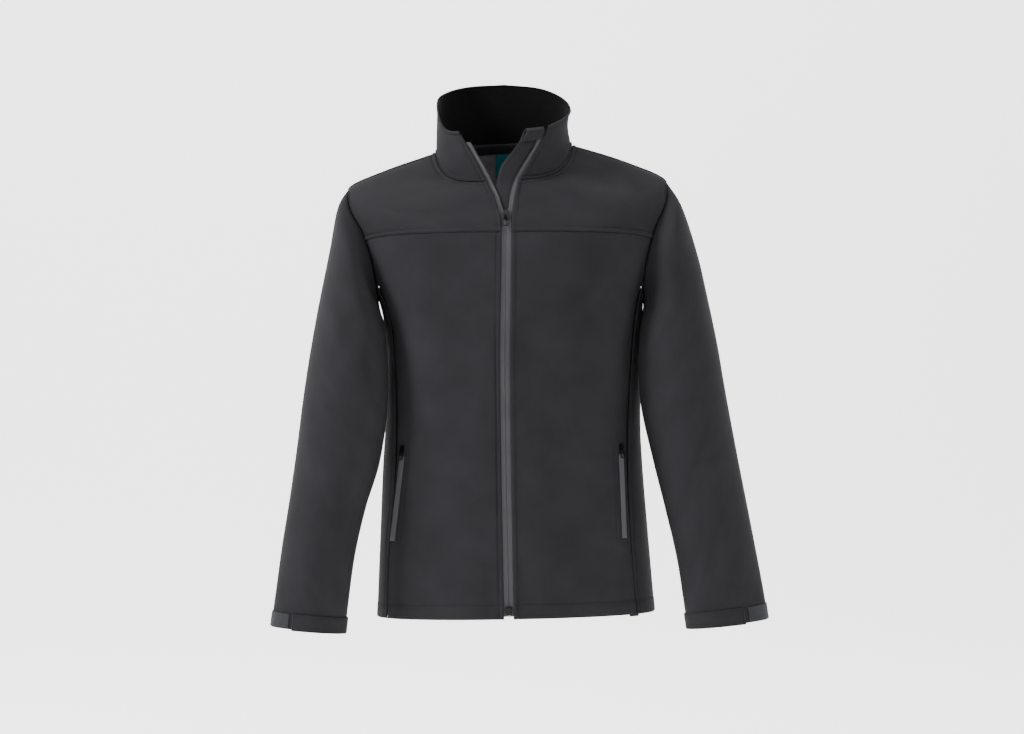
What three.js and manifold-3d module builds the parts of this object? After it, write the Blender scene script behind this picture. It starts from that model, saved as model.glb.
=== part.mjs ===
// Softshell jacket with a stand collar, filled out as it is worn, open at neck, hem and cuffs.
// Millimetres, +Z up. The front faces -Y and the wearer's left arm is on +X.
// The origin lies midway between the shoulder tops, at the height of the neck seam's sides.
import * as THREE from 'three';
import { RoundedBoxGeometry } from 'three/addons/geometries/RoundedBoxGeometry.js';
import { mergeVertices } from 'three/addons/utils/BufferGeometryUtils.js';
import Module from 'manifold-3d';

const wasm = await Module();
wasm.setup();

// Cloth and trim thicknesses
const CLOTH = 2;
const FACING = 1;
const TAPE = 0.8;
const GUARD = 1.4;
const LABEL = 0.6;
const STRAP = 1.6;
const SEAM_GAP = 0.3;

// Heights of the body, measured at its sides
const HEM_LEVEL = -686;
const SHOULDER_LEVEL = -46;
const NECK_LEVEL = 8;
const YOKE_FRONT_LEVEL = -120;

// Armhole: an oval on the body's side, the same for both arms
const ARMHOLE = { level: -130.5, halfHeight: 84.5, halfAngle: 26 };
const ARMHOLE_STEP = 15;
const YOKE_TURN = 90;
const SIDE_SEAM_TURN = 135;
const SLEEVE_SET_OUT = 0.45;

// Grid sizes of the panels
const FRONT_COLUMNS = 8;
const BACK_COLUMNS = 16;
const SIDE_COLUMNS = 6;
const BODY_ROWS = 9;
const SHOULDER_ROWS = 4;
const COLLAR_ROWS = 5;
const SLEEVE_ROWS_PER_SECTION = 2;
const SLEEVE_LENGTH = 600;

const table = (columns, rows) =>
  rows.map((row) => Object.fromEntries(columns.map((column, i) => [column, row[i]])));

// Body sections from hem to neck. The level is a section's height at the sides.
const BODY = table(
  ['level', 'frontZ', 'backZ', 'roll', 'centre', 'half', 'front', 'back', 'power'],
  [
    [-686, -686, -690, 0.02, 12, 208, 128, 118, 2.3],
    [-560, -560, -562, 0.015, 9, 200, 131, 114, 2.35],
    [-460, -460, -461, 0.01, 7, 194, 132, 110, 2.4],
    [-350, -350, -350, 0.005, 8, 188, 134, 112, 2.4],
    [-256, -256, -254, 0, 8, 190, 136, 118, 2.4],
    [-200, -200, -196, 0, 3, 204, 131, 120, 2.4],
    [-120, -120, -108, 0.01, 1, 234, 110, 115, 2.4],
    [-46, -84, -44, 0.024, -1, 238, 92, 98, 2.3],
    [-17, -62, -12, 0.035, -3, 178, 84, 80, 2.15],
    [8, -43, 14, 0.055, -6, 102, 75, 64, 2],
  ]);

// Cloth edges beside the front zip, which is closed up to the slider and open above it
const OPENING = table(['level', 'left', 'right'], [
  [-686, -5.2, 8.3], [-338, -11, 2.5], [-120, -9, 4.5], [-75, -10, 4.5],
  [-46, -14, 6.5], [-17, -21, 10], [8, -30, 15]]);

// Seam between front and side panel
const SIDE_SEAM = table(['level', 'left', 'right'], [
  [-686, -178, 190], [-600, -176, 183], [-480, -166, 176], [-400, -163, 175],
  [-330, -165, 178], [-262, -171, 183], [-222, -182, 190], [-190, -195, 201]]);

// Collar: plan of its rim, height of the rim round the neck, and its front edges
const COLLAR = { centre: -6, half: 100, front: 84, back: 72, power: 2.2, waist: 2.5 };
const RIM = table(['angle', 'z'], [
  [-180, 112], [-150, 108], [-120, 97], [-90, 80], [-75, 56], [-60, 36], [-38, 30],
  [0, 32], [36, 38], [50, 45], [75, 61], [90, 70], [120, 90], [150, 106], [180, 112]]);
const COLLAR_EDGE = table(['rise', 'left', 'right'], [
  [0, -30, 15], [0.33, -43, 31], [0.67, -57, 48], [1, -71, 59]]);
const COLLAR_FACING_INSET = 5;

// Zip guard behind the front zip, and the loop in which its end folds over the zip's top
const GUARD_BODY = table(['level', 'left', 'right'], [
  [-680, -10, 22], [-338, -16, 16], [-120, -14, 18], [-75, -14, 15], [-46, -16, 14], [8, -17, 16]]);
const GUARD_COLLAR = table(['rise', 'left', 'right'], [
  [0, -17, 16], [0.33, -8, 30], [0.67, 13, 45], [1, 27, 52]]);
const GUARD_LOOP = table(['rise', 'out'], [
  [0.7, -4.2], [0.8, -7.5], [0.89, -9], [0.95, -6], [0.97, -1.5],
  [0.94, 2.6], [0.88, 4.4], [0.81, 4], [0.76, 2.6]]);

// Zip tapes: the part that shows beside a cloth edge, and the part sewn under it
const TAPE_SHOWN = 6.6;
const TAPE_HIDDEN = 4;
const TAPE_DEPTH = 0.7;
const LAYER_GAP = 0.7;
const TAPE_TOP_RISE = 0.78;

// Pocket zips on the front panels
const POCKETS = table(['side', 'topX', 'topZ', 'bottomX', 'bottomZ', 'sliderZ'], [
  [-1, -155, -447, -170, -572, -438], [1, 166, -447, 171, -572, -438]]);
const POCKET_TAPE_WIDTH = 7;
const POCKET_PULL_SCALE = 0.75;
const MAIN_SLIDER_LEVEL = -66;

// Sleeve sections from shoulder to cuff: outer and inner edge, depth centre and half depth.
// The turn swings a section's front inwards.
const SLEEVE_COLUMNS = ['outerX', 'outerZ', 'innerX', 'innerZ', 'y', 'depth', 'turn'];
const SLEEVES = {
  left: table(SLEEVE_COLUMNS, [
    [-253, -76, -191.2, -232, -14, 64, 0],
    [-266, -146, -184.6, -251, -30, 67, 0.08],
    [-279, -215, -181, -270, -42, 68, 0.14],
    [-291, -285, -178, -312, -54, 66, 0.16],
    [-302, -358, -178, -376, -62, 62, 0.15],
    [-313, -445, -190, -462, -67, 58, 0.1],
    [-322, -510, -209, -524, -72, 54, 0.06],
    [-333, -582, -225, -595, -80, 47, 0.03],
    [-342, -652, -234, -663, -88, 41, 0],
    [-348, -698, -239, -707, -93, 37, 0]]),
  right: table(SLEEVE_COLUMNS, [
    [258, -74, 201.7, -232, -14, 64, 0],
    [283, -150, 199, -248, -22, 68, 0.06],
    [297, -215, 195.5, -270, -38, 68, 0.08],
    [311, -285, 194, -312, -48, 66, 0.1],
    [322, -352, 196, -370, -55, 63, 0.08],
    [338, -440, 215, -458, -60, 59, 0.04],
    [351, -508, 232, -526, -64, 55, 0],
    [365, -582, 249, -600, -71, 49, 0],
    [377, -648, 259, -666, -78, 43, 0],
    [383, -688, 264, -701, -83, 40, 0]]),
};

// Cuff straps and the patches under their ends, as turns round the cuff from its outer edge
const CUFF = { strapFrom: 66, strapTo: 216, patchFrom: -36, patchTo: 60, height: 25, drop: 2 };

// Largest folds: lines across the front (face 1) or back (face -1), with half width and height.
// Troughs have a negative height, ridges a positive one.
const FOLDS = table(['face', 'x0', 'z0', 'x1', 'z1', 'width', 'height'], [
  [1, -262, -150, -236, -250, 16, -3], [1, -200, -215, -262, -330, 18, -4],
  [1, -290, -330, -215, -400, 16, -3.5], [1, -300, -420, -222, -455, 13, -3],
  [1, -310, -470, -262, -600, 15, 2.5], [1, -240, -480, -262, -640, 12, -2.5],
  [1, 275, -140, 262, -260, 16, -3], [1, 212, -215, 280, -310, 18, -4],
  [1, 312, -330, 240, -400, 16, -3], [1, 330, -430, 262, -470, 13, -3],
  [1, 300, -480, 330, -620, 15, 2.5], [1, 262, -560, 278, -650, 9, -4],
  [1, 150, -320, 168, -395, 14, -2.5], [1, 200, -196, 140, -240, 9, -3],
  [1, -196, -196, -130, -250, 10, -3], [1, 50, -180, 70, -420, 34, -3],
  [1, -80, -200, -60, -520, 36, -3.5], [1, 105, -440, 92, -650, 24, -3],
  [1, -105, -450, -112, -670, 22, -3], [1, 45, -540, 60, -680, 22, 2.5],
  [1, -55, -560, -45, -684, 22, 2.5],
  [-1, -120, -150, -60, -330, 30, -4], [-1, 125, -150, 50, -350, 32, -4],
  [-1, 0, -180, 10, -480, 30, 2.5], [-1, -150, -300, -60, -420, 20, -4],
  [-1, 150, -320, 70, -450, 22, -4], [-1, -100, -450, -120, -680, 26, -4],
  [-1, 95, -470, 120, -684, 28, -4], [-1, -20, -520, -10, -684, 26, 3],
  [-1, -290, -300, -215, -360, 16, -3.5], [-1, -300, -400, -235, -450, 15, -3.5],
  [-1, 310, -300, 235, -370, 16, -3.5], [-1, 325, -400, 250, -455, 15, -3.5],
]);

// Small maths helpers
const radians = THREE.MathUtils.degToRad;
const sine = (degrees) => Math.sin(radians(degrees));
const cosine = (degrees) => Math.cos(radians(degrees));
const mix = THREE.MathUtils.lerp;
const steps = (count) => Array.from({ length: count + 1 }, (_, i) => i / count);
const power = (value, exponent) => Math.sign(value) * Math.abs(value) ** exponent;

// A smooth curve through one column of a table
function valueAt(rows, key, column, at) {
  const last = rows.length - 1;
  const slope = (i) => {
    const before = rows[Math.max(i - 1, 0)];
    const after = rows[Math.min(i + 1, last)];
    return (after[column] - before[column]) / (after[key] - before[key]);
  };
  let i = 0;
  while (i < last - 1 && at > rows[i + 1][key]) i += 1;
  const span = rows[i + 1][key] - rows[i][key];
  const t = (at - rows[i][key]) / span;
  const start = rows[i][column];
  const end = rows[i + 1][column];
  const out = slope(i) * span;
  const arrive = slope(i + 1) * span;
  return start * (1 + 2 * t) * (1 - t) ** 2 + out * t * (1 - t) ** 2
    + end * t * t * (3 - 2 * t) + arrive * t * t * (t - 1);
}

// How far the folds move cloth along Y, where it faces the front or back by the given share
function foldShift(x, z, face) {
  let lift = 0;
  for (const fold of FOLDS) {
    if (Math.sign(face) !== fold.face) continue;
    const runX = fold.x1 - fold.x0;
    const runZ = fold.z1 - fold.z0;
    const along = ((x - fold.x0) * runX + (z - fold.z0) * runZ) / (runX ** 2 + runZ ** 2);
    const share = THREE.MathUtils.clamp(along, 0, 1);
    const away = Math.hypot(x - fold.x0 - runX * share, z - fold.z0 - runZ * share) / fold.width;
    lift += fold.height * Math.exp(-away * away) * (0.35 + 0.65 * Math.sin(Math.PI * share));
  }
  return -lift * face;
}

// How far a section has dropped towards its front or back height, rounded over the shoulder
function dropShare(cosOfAngle) {
  const round = 0.2;
  const eased = (Math.hypot(cosOfAngle, round) - round) / (Math.hypot(1, round) - round);
  return 1 - (1 - eased) ** 2;
}

function bodyPoint(angle, level) {
  const at = (column) => valueAt(BODY, 'level', column, level);
  const exponent = 2 / at('power');
  const c = cosine(angle);
  const x = at('half') * power(sine(angle), exponent);
  const reach = c > 0 ? at('front') : at('back');
  const endZ = c > 0 ? at('frontZ') : at('backZ');
  const place = at('centre') + x;
  const z = level + (endZ - level) * dropShare(Math.abs(c)) + at('roll') * x;
  return new THREE.Vector3(place, -reach * power(c, exponent) + foldShift(place, z, c), z);
}

// The angle on the body's front at which a section reaches a given x
function angleAtX(x, level) {
  const offset = x - valueAt(BODY, 'level', 'centre', level);
  const share = Math.min(Math.abs(offset) / valueAt(BODY, 'level', 'half', level), 1);
  return Math.sign(offset) * THREE.MathUtils.radToDeg(
    Math.asin(share ** (valueAt(BODY, 'level', 'power', level) / 2)));
}

function rimPoint(angle) {
  const signed = angle > 180 ? angle - 360 : angle;
  const exponent = 2 / COLLAR.power;
  const c = cosine(angle);
  return new THREE.Vector3(
    COLLAR.centre + COLLAR.half * power(sine(angle), exponent),
    -(c > 0 ? COLLAR.front : COLLAR.back) * power(c, exponent),
    valueAt(RIM, 'angle', 'z', signed));
}

function collarPoint(angle, rise) {
  const foot = bodyPoint(angle, NECK_LEVEL);
  const waist = COLLAR.waist * (1 + sine(angle)) * Math.sin(Math.PI * THREE.MathUtils.clamp(rise, 0, 1));
  const point = foot.lerp(rimPoint(angle), rise);
  point.x -= waist * sine(angle);
  point.y += waist * cosine(angle);
  return point;
}

const collarAngleAtX = (x) => angleAtX(x, NECK_LEVEL);

// The outward direction of a surface, from small steps along both of its directions
function outward(surface, u, v, stepU, stepV) {
  const alongU = surface(u + stepU, v).sub(surface(u - stepU, v));
  const alongV = surface(u, v + stepV).sub(surface(u, v - stepV));
  return alongU.cross(alongV).normalize();
}

const bodySkin = (angle, level) => ({
  point: bodyPoint(angle, level),
  out: outward(bodyPoint, angle, Math.min(level, NECK_LEVEL - 1), 0.5, 1),
});
const collarSkin = (angle, rise) => ({
  point: collarPoint(angle, rise),
  out: outward(collarPoint, angle, rise, 0.5, 0.01),
});

// Moves a panel's edges in by half a seam gap
function trimmed(grid) {
  const moved = grid.map((row) => row.map((cell) => ({ point: cell.point.clone(), out: cell.out })));
  const pull = (cell, edge, inner) => {
    const step = inner.clone().sub(edge);
    cell.point.addScaledVector(step.normalize(), SEAM_GAP / 2);
  };
  const lastRow = grid.length - 1;
  const lastColumn = grid[0].length - 1;
  for (let i = 0; i <= lastColumn; i += 1) {
    pull(moved[0][i], grid[0][i].point, grid[1][i].point);
    pull(moved[lastRow][i], grid[lastRow][i].point, grid[lastRow - 1][i].point);
  }
  for (let j = 0; j <= lastRow; j += 1) {
    pull(moved[j][0], grid[j][0].point, grid[j][1].point);
    pull(moved[j][lastColumn], grid[j][lastColumn].point, grid[j][lastColumn - 1].point);
  }
  return moved;
}

// A closed cloth wall whose outer face lies on a grid of skin points, moved out by lift
function wall(grid, thickness, lift = 0, around = false) {
  const rows = grid.length;
  const columns = grid[0].length;
  const positions = [];
  for (const depth of [lift, lift - thickness]) {
    for (const row of grid) {
      for (const cell of row) {
        const p = cell.point.clone().addScaledVector(cell.out, depth);
        positions.push(p.x, p.y, p.z);
      }
    }
  }
  const outer = (j, i) => j * columns + (i % columns);
  const inner = (j, i) => rows * columns + outer(j, i);
  const faces = [];
  const quad = (a, b, c, d) => faces.push(a, b, c, a, c, d);
  const spans = around ? columns : columns - 1;
  for (let j = 0; j < rows - 1; j += 1) {
    for (let i = 0; i < spans; i += 1) {
      quad(outer(j, i), outer(j, i + 1), outer(j + 1, i + 1), outer(j + 1, i));
      quad(inner(j, i), inner(j + 1, i), inner(j + 1, i + 1), inner(j, i + 1));
    }
  }
  for (let i = 0; i < spans; i += 1) {
    const top = rows - 1;
    quad(outer(0, i), inner(0, i), inner(0, i + 1), outer(0, i + 1));
    quad(outer(top, i), outer(top, i + 1), inner(top, i + 1), inner(top, i));
  }
  for (let j = 0; j < rows - 1 && !around; j += 1) {
    const end = columns - 1;
    quad(outer(j, 0), outer(j + 1, 0), inner(j + 1, 0), inner(j, 0));
    quad(outer(j, end), inner(j, end), inner(j + 1, end), outer(j + 1, end));
  }
  const geometry = new THREE.BufferGeometry();
  geometry.setAttribute('position', new THREE.Float32BufferAttribute(positions, 3));
  geometry.setIndex(faces);
  geometry.computeVertexNormals();
  return geometry;
}

// Columns are kept in the order of growing angle, so that faces point out on both sides
const ordered = (row, side) => (side > 0 ? row : row.reverse());
const sideName = (side) => (side > 0 ? 'right' : 'left');

// Places on the armhole, by the turn round it from the shoulder over the front
const armholeLevel = (turn) => ARMHOLE.level + ARMHOLE.halfHeight * cosine(turn);
const armholeAngle = (turn) => 90 - ARMHOLE.halfAngle * sine(turn);
const turnsBetween = (from, to) =>
  Array.from({ length: Math.abs(to - from) / ARMHOLE_STEP + 1 },
    (_, i) => from + Math.sign(to - from) * ARMHOLE_STEP * i);

const SIDE_TOP_LEVEL = armholeLevel(SIDE_SEAM_TURN);
const bodyLevels = steps(BODY_ROWS).map((t) => mix(HEM_LEVEL, SIDE_TOP_LEVEL, t));
const shoulderLevels = steps(SHOULDER_ROWS).map((t) => mix(SHOULDER_LEVEL, NECK_LEVEL, t));

function frontSeamAngle(side, level) {
  if (level >= SIDE_TOP_LEVEL) return side * armholeAngle(SIDE_SEAM_TURN);
  return angleAtX(valueAt(SIDE_SEAM, 'level', sideName(side), level), level);
}
const frontEdgeAngle = (side, level) =>
  angleAtX(valueAt(OPENING, 'level', sideName(side), level), level);

// The yoke seam runs level at the zip and falls a little towards the armhole
const yokeSeamDip = (share) => (YOKE_FRONT_LEVEL - ARMHOLE.level) * (1 - share ** 3);
function frontLevel(level, share) {
  const below = level <= ARMHOLE.level;
  const climb = below
    ? (level - HEM_LEVEL) / (ARMHOLE.level - HEM_LEVEL)
    : (NECK_LEVEL - level) / (NECK_LEVEL - ARMHOLE.level);
  return level + yokeSeamDip(share) * climb ** (below ? 4 : 2);
}

function frontGrid(side) {
  const edgeRows = [
    ...bodyLevels.map((level) => ({ level, sideAngle: frontSeamAngle(side, level) })),
    ...turnsBetween(SIDE_SEAM_TURN, YOKE_TURN).slice(1).map((turn) => (
      { level: armholeLevel(turn), sideAngle: side * armholeAngle(turn) })),
  ];
  return edgeRows.map(({ level, sideAngle }) => ordered(steps(FRONT_COLUMNS).map((u) => {
    const here = frontLevel(level, u);
    return bodySkin(mix(frontEdgeAngle(side, here), sideAngle, u), here);
  }), side));
}

function yokeGrid(side) {
  const edgeRows = [
    ...turnsBetween(YOKE_TURN, 0).map((turn) => (
      { level: armholeLevel(turn), sideAngle: side * armholeAngle(turn) })),
    ...shoulderLevels.slice(1).map((level) => ({ level, sideAngle: side * 90 })),
  ];
  return edgeRows.map(({ level, sideAngle }) => ordered(steps(FRONT_COLUMNS).map((u) => {
    const here = frontLevel(level, u);
    return bodySkin(mix(frontEdgeAngle(side, here), sideAngle, u), here);
  }), side));
}

function sidePanelGrid(side) {
  const topTurns = turnsBetween(SIDE_SEAM_TURN, 360 - SIDE_SEAM_TURN);
  return bodyLevels.map((level) => {
    const climb = (level - HEM_LEVEL) / (SIDE_TOP_LEVEL - HEM_LEVEL);
    return ordered(topTurns.map((turn, i) => {
      const u = i / SIDE_COLUMNS;
      const here = mix(HEM_LEVEL, armholeLevel(turn), climb);
      const front = frontSeamAngle(side, level);
      const lower = mix(front, side * 180 - front, u);
      const angle = mix(lower, side * armholeAngle(turn), climb ** 3);
      return bodySkin(angle, here);
    }), side);
  });
}

// The back reaches from seam to seam and over the shoulders to the neck
function backGrid() {
  const edgeRows = [
    ...bodyLevels.map((level) => ({
      level,
      from: 180 - frontSeamAngle(1, level),
      to: 180 - frontSeamAngle(-1, level),
    })),
    ...turnsBetween(360 - SIDE_SEAM_TURN, 360).slice(1).map((turn) => (
      { level: armholeLevel(turn), from: armholeAngle(turn), to: 360 - armholeAngle(turn) })),
    ...shoulderLevels.slice(1).map((level) => ({ level, from: 90, to: 270 })),
  ];
  return edgeRows.map(({ level, from, to }) =>
    steps(BACK_COLUMNS).map((u) => bodySkin(mix(from, to, u), level)));
}

// Angles round the neck that the collar shares with the panels below it
function collarAngles(rise, inset = 0) {
  const edge = (side) => collarAngleAtX(
    valueAt(COLLAR_EDGE, 'rise', sideName(side), rise) + side * inset);
  return [
    ...steps(FRONT_COLUMNS).map((u) => mix(edge(1), 90, u)),
    ...steps(BACK_COLUMNS).slice(1).map((u) => mix(90, 270, u)),
    ...steps(FRONT_COLUMNS).slice(1).map((u) => mix(270, 360 + edge(-1), u)),
  ];
}

const collarGrid = (inset, top) => steps(COLLAR_ROWS).map((t) =>
  collarAngles(t * top, inset).map((angle) => collarSkin(angle, t * top)));

// Grey lining inside the back, just below the neck seam
const NECK_LINING = { from: 123.75, to: 236.25, columns: 10 };
const neckLiningGrid = () => shoulderLevels.map((level) =>
  steps(NECK_LINING.columns).map((u) => bodySkin(
    mix(NECK_LINING.from, NECK_LINING.to, u), level)));

// Bare label hanging from the neck seam
const LABEL_SIZE = { left: -19, right: 20, lowLevel: -29, topLevel: 4, rows: 4, columns: 3 };
const labelGrid = () => steps(LABEL_SIZE.rows).map((v) => {
  const level = mix(LABEL_SIZE.lowLevel, LABEL_SIZE.topLevel, v);
  return steps(LABEL_SIZE.columns).map((u) => bodySkin(
    180 - angleAtX(mix(LABEL_SIZE.right, LABEL_SIZE.left, u), level), level));
});

// Strips that run up the front edge and on along the collar's edge
const stripLevels = [
  ...bodyLevels.slice(0, -1),
  ...turnsBetween(SIDE_SEAM_TURN, 0).map(armholeLevel),
  ...shoulderLevels.slice(1, -1),
];
function seamSkin(x) {
  const angle = collarAngleAtX(x);
  const low = bodySkin(angle, NECK_LEVEL);
  const out = low.out.clone().add(collarSkin(angle, 0.02).out).normalize();
  return { point: low.point, out };
}

function tapeGrid(side) {
  const columns = (edge) => ordered([edge - side * TAPE_SHOWN, edge + side * TAPE_HIDDEN], side);
  const body = stripLevels.map((level, i) => {
    const here = i === 0 ? level + 4 : frontLevel(level, 0);
    const edge = valueAt(OPENING, 'level', sideName(side), here);
    return columns(edge).map((x) => bodySkin(angleAtX(x, here), here));
  });
  const collar = [0.2, 0.4, 0.6, TAPE_TOP_RISE].map((rise) => {
    const edge = valueAt(COLLAR_EDGE, 'rise', sideName(side), rise);
    return columns(edge).map((x) => collarSkin(collarAngleAtX(x), rise));
  });
  const neck = columns(valueAt(OPENING, 'level', sideName(side), NECK_LEVEL)).map(seamSkin);
  return [...body, neck, ...collar];
}

// The guard lies under the tapes. At its top it folds over the zip's end in an open loop.
const GUARD_DEPTH = CLOTH + TAPE_DEPTH + TAPE + LAYER_GAP;
function guardGrid() {
  const columns = (rows, key, at) => steps(2).map((u) =>
    mix(valueAt(rows, key, 'left', at), valueAt(rows, key, 'right', at), u));
  const under = (skin) => skin.point.addScaledVector(skin.out, -GUARD_DEPTH);
  const body = stripLevels.map((level, i) => {
    const here = i === 0 ? level + 6 : frontLevel(level, 0);
    return columns(GUARD_BODY, 'level', here).map((x) => under(bodySkin(angleAtX(x, here), here)));
  });
  const neck = columns(GUARD_COLLAR, 'rise', 0).map((x) => under(seamSkin(x)));
  const collar = [0.2, 0.4, 0.6].map((rise) =>
    columns(GUARD_COLLAR, 'rise', rise).map((x) => under(collarSkin(collarAngleAtX(x), rise))));
  const loop = GUARD_LOOP.map(({ rise, out }) =>
    columns(GUARD_COLLAR, 'rise', Math.min(rise, 1)).map((x) => {
      const skin = collarSkin(collarAngleAtX(x), rise);
      return skin.point.addScaledVector(skin.out, out);
    }));
  return withOutwards([...body, neck, ...collar, ...loop]);
}

// Adds outward directions to a grid of points, from its neighbours in both directions
function withOutwards(points) {
  return points.map((row, j) => row.map((point, i) => {
    const alongU = row[Math.min(i + 1, row.length - 1)].clone().sub(row[Math.max(i - 1, 0)]);
    const alongV = points[Math.min(j + 1, points.length - 1)][i].clone()
      .sub(points[Math.max(j - 1, 0)][i]);
    return { point, out: alongU.cross(alongV).normalize() };
  }));
}

// A patch that lies on the front panel along a pocket opening
function pocketTapeGrid(pocket) {
  return steps(5).map((v) => {
    const z = mix(pocket.bottomZ, pocket.topZ, v);
    const middle = mix(pocket.bottomX, pocket.topX, v);
    return [-0.5, 0.5].map((u) => bodySkin(angleAtX(middle + u * POCKET_TAPE_WIDTH, z), z));
  });
}

// Sleeves: each line along the sleeve is a smooth curve through its sections. Each is built in
// three lengths, so that its collision pieces follow the tube.
function sleeveSectionPoint(side, section, turn) {
  const c = cosine(turn);
  const forward = section.depth * sine(turn);
  return new THREE.Vector3(
    mix(section.innerX, section.outerX, (1 + c) / 2) - side * section.turn * forward,
    section.y - forward,
    mix(section.innerZ, section.outerZ, (1 + c) / 2));
}

function sleeveLine(side, turn) {
  const start = bodyPoint(side * armholeAngle(turn), armholeLevel(turn));
  start.x += side * SLEEVE_SET_OUT;
  const sections = SLEEVES[sideName(side)];
  return new THREE.CatmullRomCurve3(
    [start, ...sections.map((section) => sleeveSectionPoint(side, section, turn))]);
}

function sleevePoint(side) {
  return (turn, along) => {
    const point = sleeveLine(side, turn).getPoint(THREE.MathUtils.clamp(along, 0, 1));
    const awayFromSeam = THREE.MathUtils.clamp(along / 0.1, 0, 1);
    point.y += foldShift(point.x, point.z, sine(turn)) * awayFromSeam;
    return point;
  };
}

function sleeveSkin(side, turn, along) {
  const surface = sleevePoint(side);
  const out = outward(surface, turn, THREE.MathUtils.clamp(along, 0.004, 0.996), 1, 0.004);
  return { point: surface(turn, along), out: out.multiplyScalar(side) };
}

// Where the sleeve carries on the body's surface, its end is cut square to the body
function sleeveStartSkin(side, turn) {
  const skin = sleeveSkin(side, turn, 0);
  const body = bodySkin(side * armholeAngle(turn), armholeLevel(turn));
  const share = THREE.MathUtils.clamp(skin.out.dot(body.out) * 3, 0, 1);
  return { point: skin.point, out: skin.out.lerp(body.out, share).normalize() };
}

const SLEEVE_LENGTHS = [
  { name: 'head', from: 0, to: 0.18 },
  { name: 'upper', from: 0.18, to: 0.35 },
  { name: 'elbow', from: 0.35, to: 0.65 },
  { name: 'forearm', from: 0.65, to: 1 },
];
function sleeveGrid(side, { from, to }) {
  const rows = SLEEVES[sideName(side)].length * SLEEVE_ROWS_PER_SECTION;
  const turns = turnsBetween(0, 360).slice(0, -1);
  const halfGap = SEAM_GAP / 2 / SLEEVE_LENGTH;
  const start = from === 0 ? 0 : from + halfGap;
  const end = to === 1 ? 1 : to - halfGap;
  return steps(Math.round((to - from) * rows)).map((share) => mix(start, end, share))
    .map((along) => ordered(turns.map((turn) => (
      along === 0 ? sleeveStartSkin(side, turn) : sleeveSkin(side, turn, along))), side));
}

// A band on the cuff between two turns, as high as the strap
function cuffGrid(side, from, to, low, high) {
  const sections = SLEEVES[sideName(side)];
  const last = sections.length;
  const lastLength = Math.abs(sections[last - 1].innerZ - sections[last - 2].innerZ);
  const alongAt = (above) => 1 - above / lastLength / last;
  const inside = turnsBetween(-45, 225).filter((turn) => turn > from + 2 && turn < to - 2);
  const turns = [from, ...inside, to];
  return steps(2).map((v) => ordered(turns.map((turn) => (
    sleeveSkin(side, turn, alongAt(mix(high, low, v))))), side));
}

// Coordinates at a place on the front: x along the cloth, y inwards, z up the cloth
function placeOn(mesh, x, level, out) {
  const skin = bodySkin(angleAtX(x, level), level);
  const inwards = skin.out.clone().negate();
  const across = new THREE.Vector3(0, 0, 1).cross(skin.out).normalize();
  const up = across.clone().cross(inwards);
  mesh.applyMatrix4(new THREE.Matrix4().makeBasis(across, inwards, up)
    .setPosition(skin.point.addScaledVector(skin.out, out)));
  return mesh;
}

// Zip slider: a plate with a bridge over the pull's bar. Pull: a drop-shaped wire ring.
const SLIDER = {
  width: 9, length: 15, plate: 2.8, bridgeWidth: 2, bridge: 10, arch: 6.4, clear: 2.6, roof: 1.2,
};
const PULL = { length: 22, bar: 5.2, width: 11.5, wire: 1.5, lift: 0.45 };

function solidFrom(geometry) {
  const bare = geometry.clone();
  bare.deleteAttribute('normal');
  bare.deleteAttribute('uv');
  const merged = mergeVertices(bare, 1e-4);
  return new wasm.Manifold(new wasm.Mesh({
    numProp: 3,
    vertProperties: new Float32Array(merged.attributes.position.array),
    triVerts: new Uint32Array(merged.index.array),
  }));
}

function geometryFrom(solid) {
  const mesh = solid.getMesh();
  const geometry = new THREE.BufferGeometry();
  geometry.setAttribute('position', new THREE.Float32BufferAttribute(mesh.vertProperties, 3));
  geometry.setIndex(new THREE.Uint32BufferAttribute(mesh.triVerts, 1));
  geometry.computeVertexNormals();
  return geometry;
}

// Extrudes a side view, drawn with height to the right and length upwards, across the zip
function acrossZip(shape, width) {
  return new THREE.ExtrudeGeometry(shape, { depth: width, bevelEnabled: false, curveSegments: 3 })
    .translate(0, 0, -width / 2).rotateY(-Math.PI / 2).rotateX(Math.PI / 2);
}

function sliderGeometry() {
  const half = SLIDER.length / 2;
  const plate = new THREE.Shape([
    [0, -half + 1], [0, half - 1], [1, half], [SLIDER.plate - 0.6, half], [SLIDER.plate, half - 1.2],
    [SLIDER.plate, -half + 1.2], [SLIDER.plate - 0.6, -half], [1, -half],
  ].map(([x, y]) => new THREE.Vector2(x, y)));
  const top = SLIDER.plate + SLIDER.clear + SLIDER.roof;
  const foot = SLIDER.plate - 0.5;
  const outer = SLIDER.bridge / 2;
  const bridge = new THREE.Shape([
    [foot, -outer], [foot, outer], [top - 1.2, outer], [top, outer - 1.6],
    [top, -outer + 1.6], [top - 1.2, -outer],
  ].map(([x, y]) => new THREE.Vector2(x, y)));
  const inner = SLIDER.arch / 2;
  bridge.holes.push(new THREE.Path([
    [SLIDER.plate, -inner], [SLIDER.plate + SLIDER.clear, -inner],
    [SLIDER.plate + SLIDER.clear, inner], [SLIDER.plate, inner],
  ].map(([x, y]) => new THREE.Vector2(x, y))));
  return geometryFrom(solidFrom(acrossZip(plate, SLIDER.width))
    .add(solidFrom(acrossZip(bridge, SLIDER.bridgeWidth))));
}

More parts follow.
